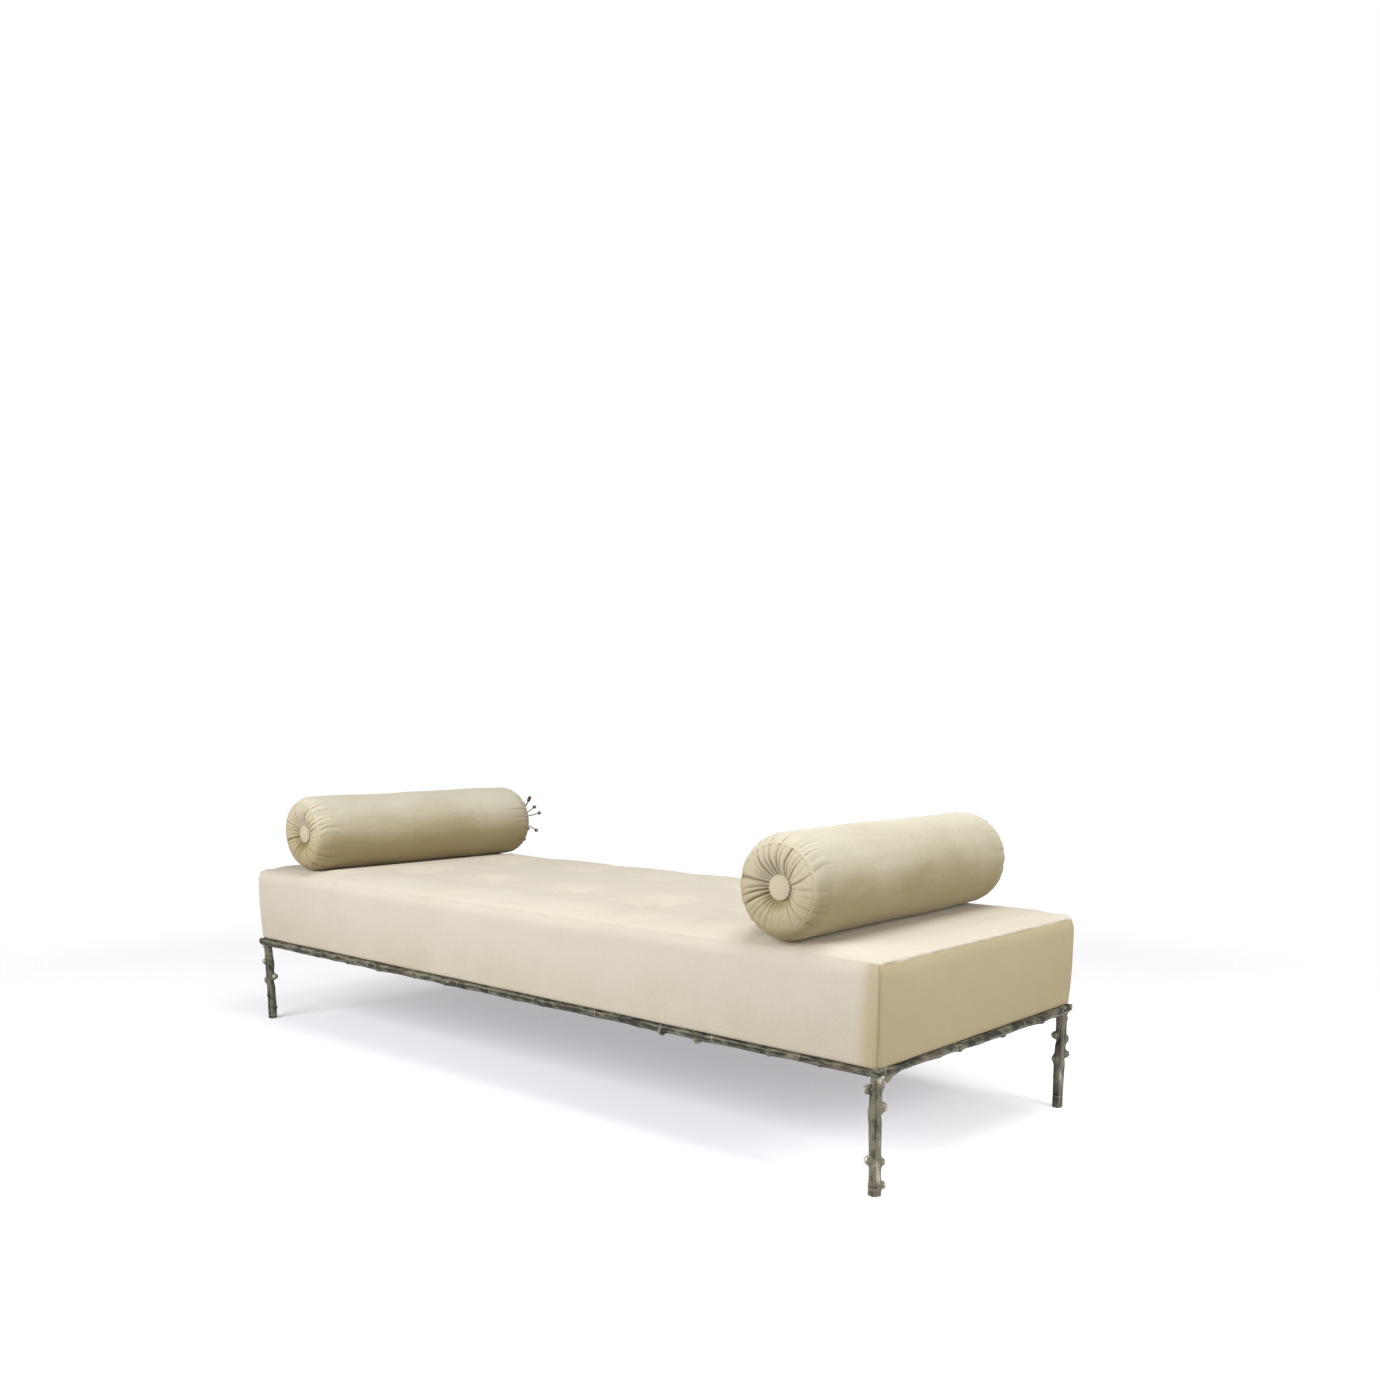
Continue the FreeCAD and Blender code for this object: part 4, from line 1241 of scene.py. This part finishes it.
# %% Wood, steel, plastic and twine
def make_wood(name, light, dark, grain_axis, rings=60.0):
    """Bare wood with its grain along one axis: 0 for x, 1 for y, 2 for z."""
    finish = Finish(name, roughness=0.7, specular_ior_level=0.3)
    stretch = tuple(0.07 if axis == grain_axis else 1.0 for axis in range(3))
    grain = finish.noise(rings, 4.0, stretch, 0.6, 0.8)
    pores = finish.noise(480.0, 2.0, stretch).between(0.55, 0.75)
    colour = finish.mix(grain.between(0.3, 0.7), light, dark)
    finish.feed(base_color=finish.mix(pores * 0.35, colour, dark))
    finish.feed(roughness=0.62 + grain * 0.2)
    finish.feed(normal=finish.relief(pores, 0.0003, 0.4))
    return finish.material


def make_hard(name, base, other, metal, rough, scale, stretch=(1.0, 1.0, 1.0), depth=0.0002):
    """Paint, metal or plastic: two near colours in fine mottling, with faint relief."""
    finish = Finish(name, metallic=metal, roughness=rough)
    mottle = finish.noise(scale, 4.0, stretch, 0.6)
    rubbed = finish.noise(scale / 9, 3.0).between(0.5, 0.75)
    finish.feed(base_color=finish.mix((mottle + rubbed * 0.5).between(0.4, 1.0), base, other))
    finish.feed(roughness=rough - 0.08 + mottle * 0.16)
    finish.feed(normal=finish.relief(mottle, depth, 0.4))
    return finish.material


def make_twine():
    """Waxed flax twine: slanting strands with pale fibres."""
    finish = Finish("twine", roughness=0.8, sheen_weight=0.2)
    sockets = {"Vector": finish.place(), "Scale": 260.0, "Distortion": 1.5, "Detail": 2.0}
    strands = finish.node("TexWave", {"bands_direction": "DIAGONAL"}, sockets, 1)
    fibres = finish.noise(1400.0, 2.0)
    colour = finish.mix(strands * 0.7 + fibres * 0.3, (0.42, 0.34, 0.22), (0.78, 0.72, 0.58))
    finish.feed(base_color=colour)
    finish.feed(normal=finish.relief(strands, 0.0003, 0.6))
    return finish.material


light_wood, dark_wood = (0.66, 0.50, 0.32), (0.46, 0.31, 0.17)
wood_along = make_wood("frame_wood_along", light_wood, dark_wood, 0)
wood_across = make_wood("frame_wood_across", light_wood, dark_wood, 1)
plywood = make_wood("deck_plywood", (0.72, 0.57, 0.37), (0.56, 0.40, 0.23), 0, 25.0)
black_paint = make_hard("ledge_steel", (0.020, 0.020, 0.019), (0.055, 0.053, 0.050), 0.0, 0.45, 300.0)
zinc = make_hard("screw_steel", (0.50, 0.50, 0.48), (0.66, 0.65, 0.60), 1.0, 0.35, 500.0, (1.0, 1.0, 6.0))
nylon = make_hard("glide_nylon", (0.030, 0.030, 0.030), (0.075, 0.073, 0.070), 0.0, 0.6, 700.0)
toggle = make_hard("toggle_plastic", (0.70, 0.67, 0.60), (0.82, 0.79, 0.72), 0.0, 0.5, 350.0)
stem_bronze = make_hard("stem_bronze", (0.060, 0.056, 0.042), (0.24, 0.225, 0.175), 0.35, 0.5, 400.0,
                        (1.0, 0.4, 0.4))
twine = make_twine()

# %% Give each node its material
finishes = {
    "seat_rail_front": wood_along, "seat_rail_back": wood_along, "corner_blocks": wood_along,
    "seat_rail_left": wood_across, "seat_rail_right": wood_across, "seat_slat_": wood_across,
    "deck_board": plywood, "ledge_": black_paint, "cross_bar_": black_paint, "seat_screws": zinc,
    "foot_glides": nylon, "tuft_toggles": toggle, "tuft_twines": twine, "left_bolster_tie": twine,
    "right_bolster_tie": twine, "berry_stems": stem_bronze, "berry_hub": stem_bronze,
}
dressed = []
for start, material in finishes.items():
    for name in (name for name in nodes if name.startswith(start)):
        for slot in nodes[name].material_slots:
            slot.material = material
        dressed.append(name)
print("nodes that stay:", len(dressed))

# %% [markdown]
# ## Floor and light
# The studio is a plain pale floor under soft lamps. Far from the divan the floor shades into a plain
# white that only the camera and reflections see, so the picture has a white ground and keeps the
# soft shadow under the seat.

# %% Floor
floor_seen, floor_lit = (0.97, 0.96, 1.0), (0.52, 0.51, 0.54)
shadow_lift = (0.385, 0.375, 0.395)
shadow_lift_right = (0.60, 0.583, 0.605)


def make_floor():
    """A pale floor that turns white far from the divan. Its glow lifts the shadow for the camera."""
    tool = bmesh.new()
    bmesh.ops.create_grid(tool, x_segments=1, y_segments=1, size=30.0)
    floor = put_in_scene("floor", make_mesh(tool, "floor"))
    finish = Finish("floor", roughness=0.9, specular_ior_level=0.0, emission_strength=1.0)
    where = finish.node("TexCoord", output="Object")
    distance = finish.node("VectorMath", {"operation": "LENGTH"}, {0: where}, 1)
    seen = finish.seen_directly()
    finish.feed(base_color=finish.mix(seen, floor_lit, floor_seen))
    apart = finish.node("SeparateXYZ", None, {0: where})
    lift = finish.mix(apart.between(0.6, 1.25), shadow_lift, shadow_lift_right)
    finish.feed(emission_color=finish.mix(seen, (0.0, 0.0, 0.0), lift))
    white = finish.node("Emission", None, {"Color": (1.0, 1.0, 1.0), "Strength": 1.0})
    share = seen * distance.between(1.5, 3.0)
    finish.show(finish.node("MixShader", None, {0: share, 1: finish.lit, 2: white}))
    floor.data.materials.append(finish.material)


make_floor()

# %% World
def make_world():
    """Even pale light from all round, and plain white for the camera."""
    world = bpy.data.worlds.new("studio")
    bpy.context.scene.world = world
    graph = Graph(world, "OutputWorld")
    room = graph.node("Background", None, {"Color": (1.0, 0.965, 0.90), "Strength": 0.18})
    white = graph.node("Background", None, {"Color": (1.0, 1.0, 1.0), "Strength": 1.0})
    graph.show(graph.node("MixShader", None, {0: graph.seen_directly(), 1: room, 2: white}))


make_world()

# %% Lamps
def add_softbox(name, location, target, size, watts):
    """A rectangular area lamp that faces a point."""
    data = bpy.data.lights.new(name, "AREA")
    data.shape = "RECTANGLE"
    data.size, data.size_y = size
    data.energy = watts
    lamp = put_in_scene(name, data)
    lamp.location = location
    aim = Vector(target) - Vector(location)
    lamp.rotation_euler = aim.to_track_quat("-Z", "Y").to_euler()


add_softbox("key", (-0.4, -3.5, 2.2), (0.0, 0.0, 0.3), (2.6, 2.0), 114.0)
add_softbox("top", (1.10, 0.2, 3.0), (0.45, 0.0, 0.3), (1.9, 1.6), 46.0)
add_softbox("right", (3.1, 0.0, 1.35), (0.6, 0.0, 0.4), (1.2, 1.2), 26.5)
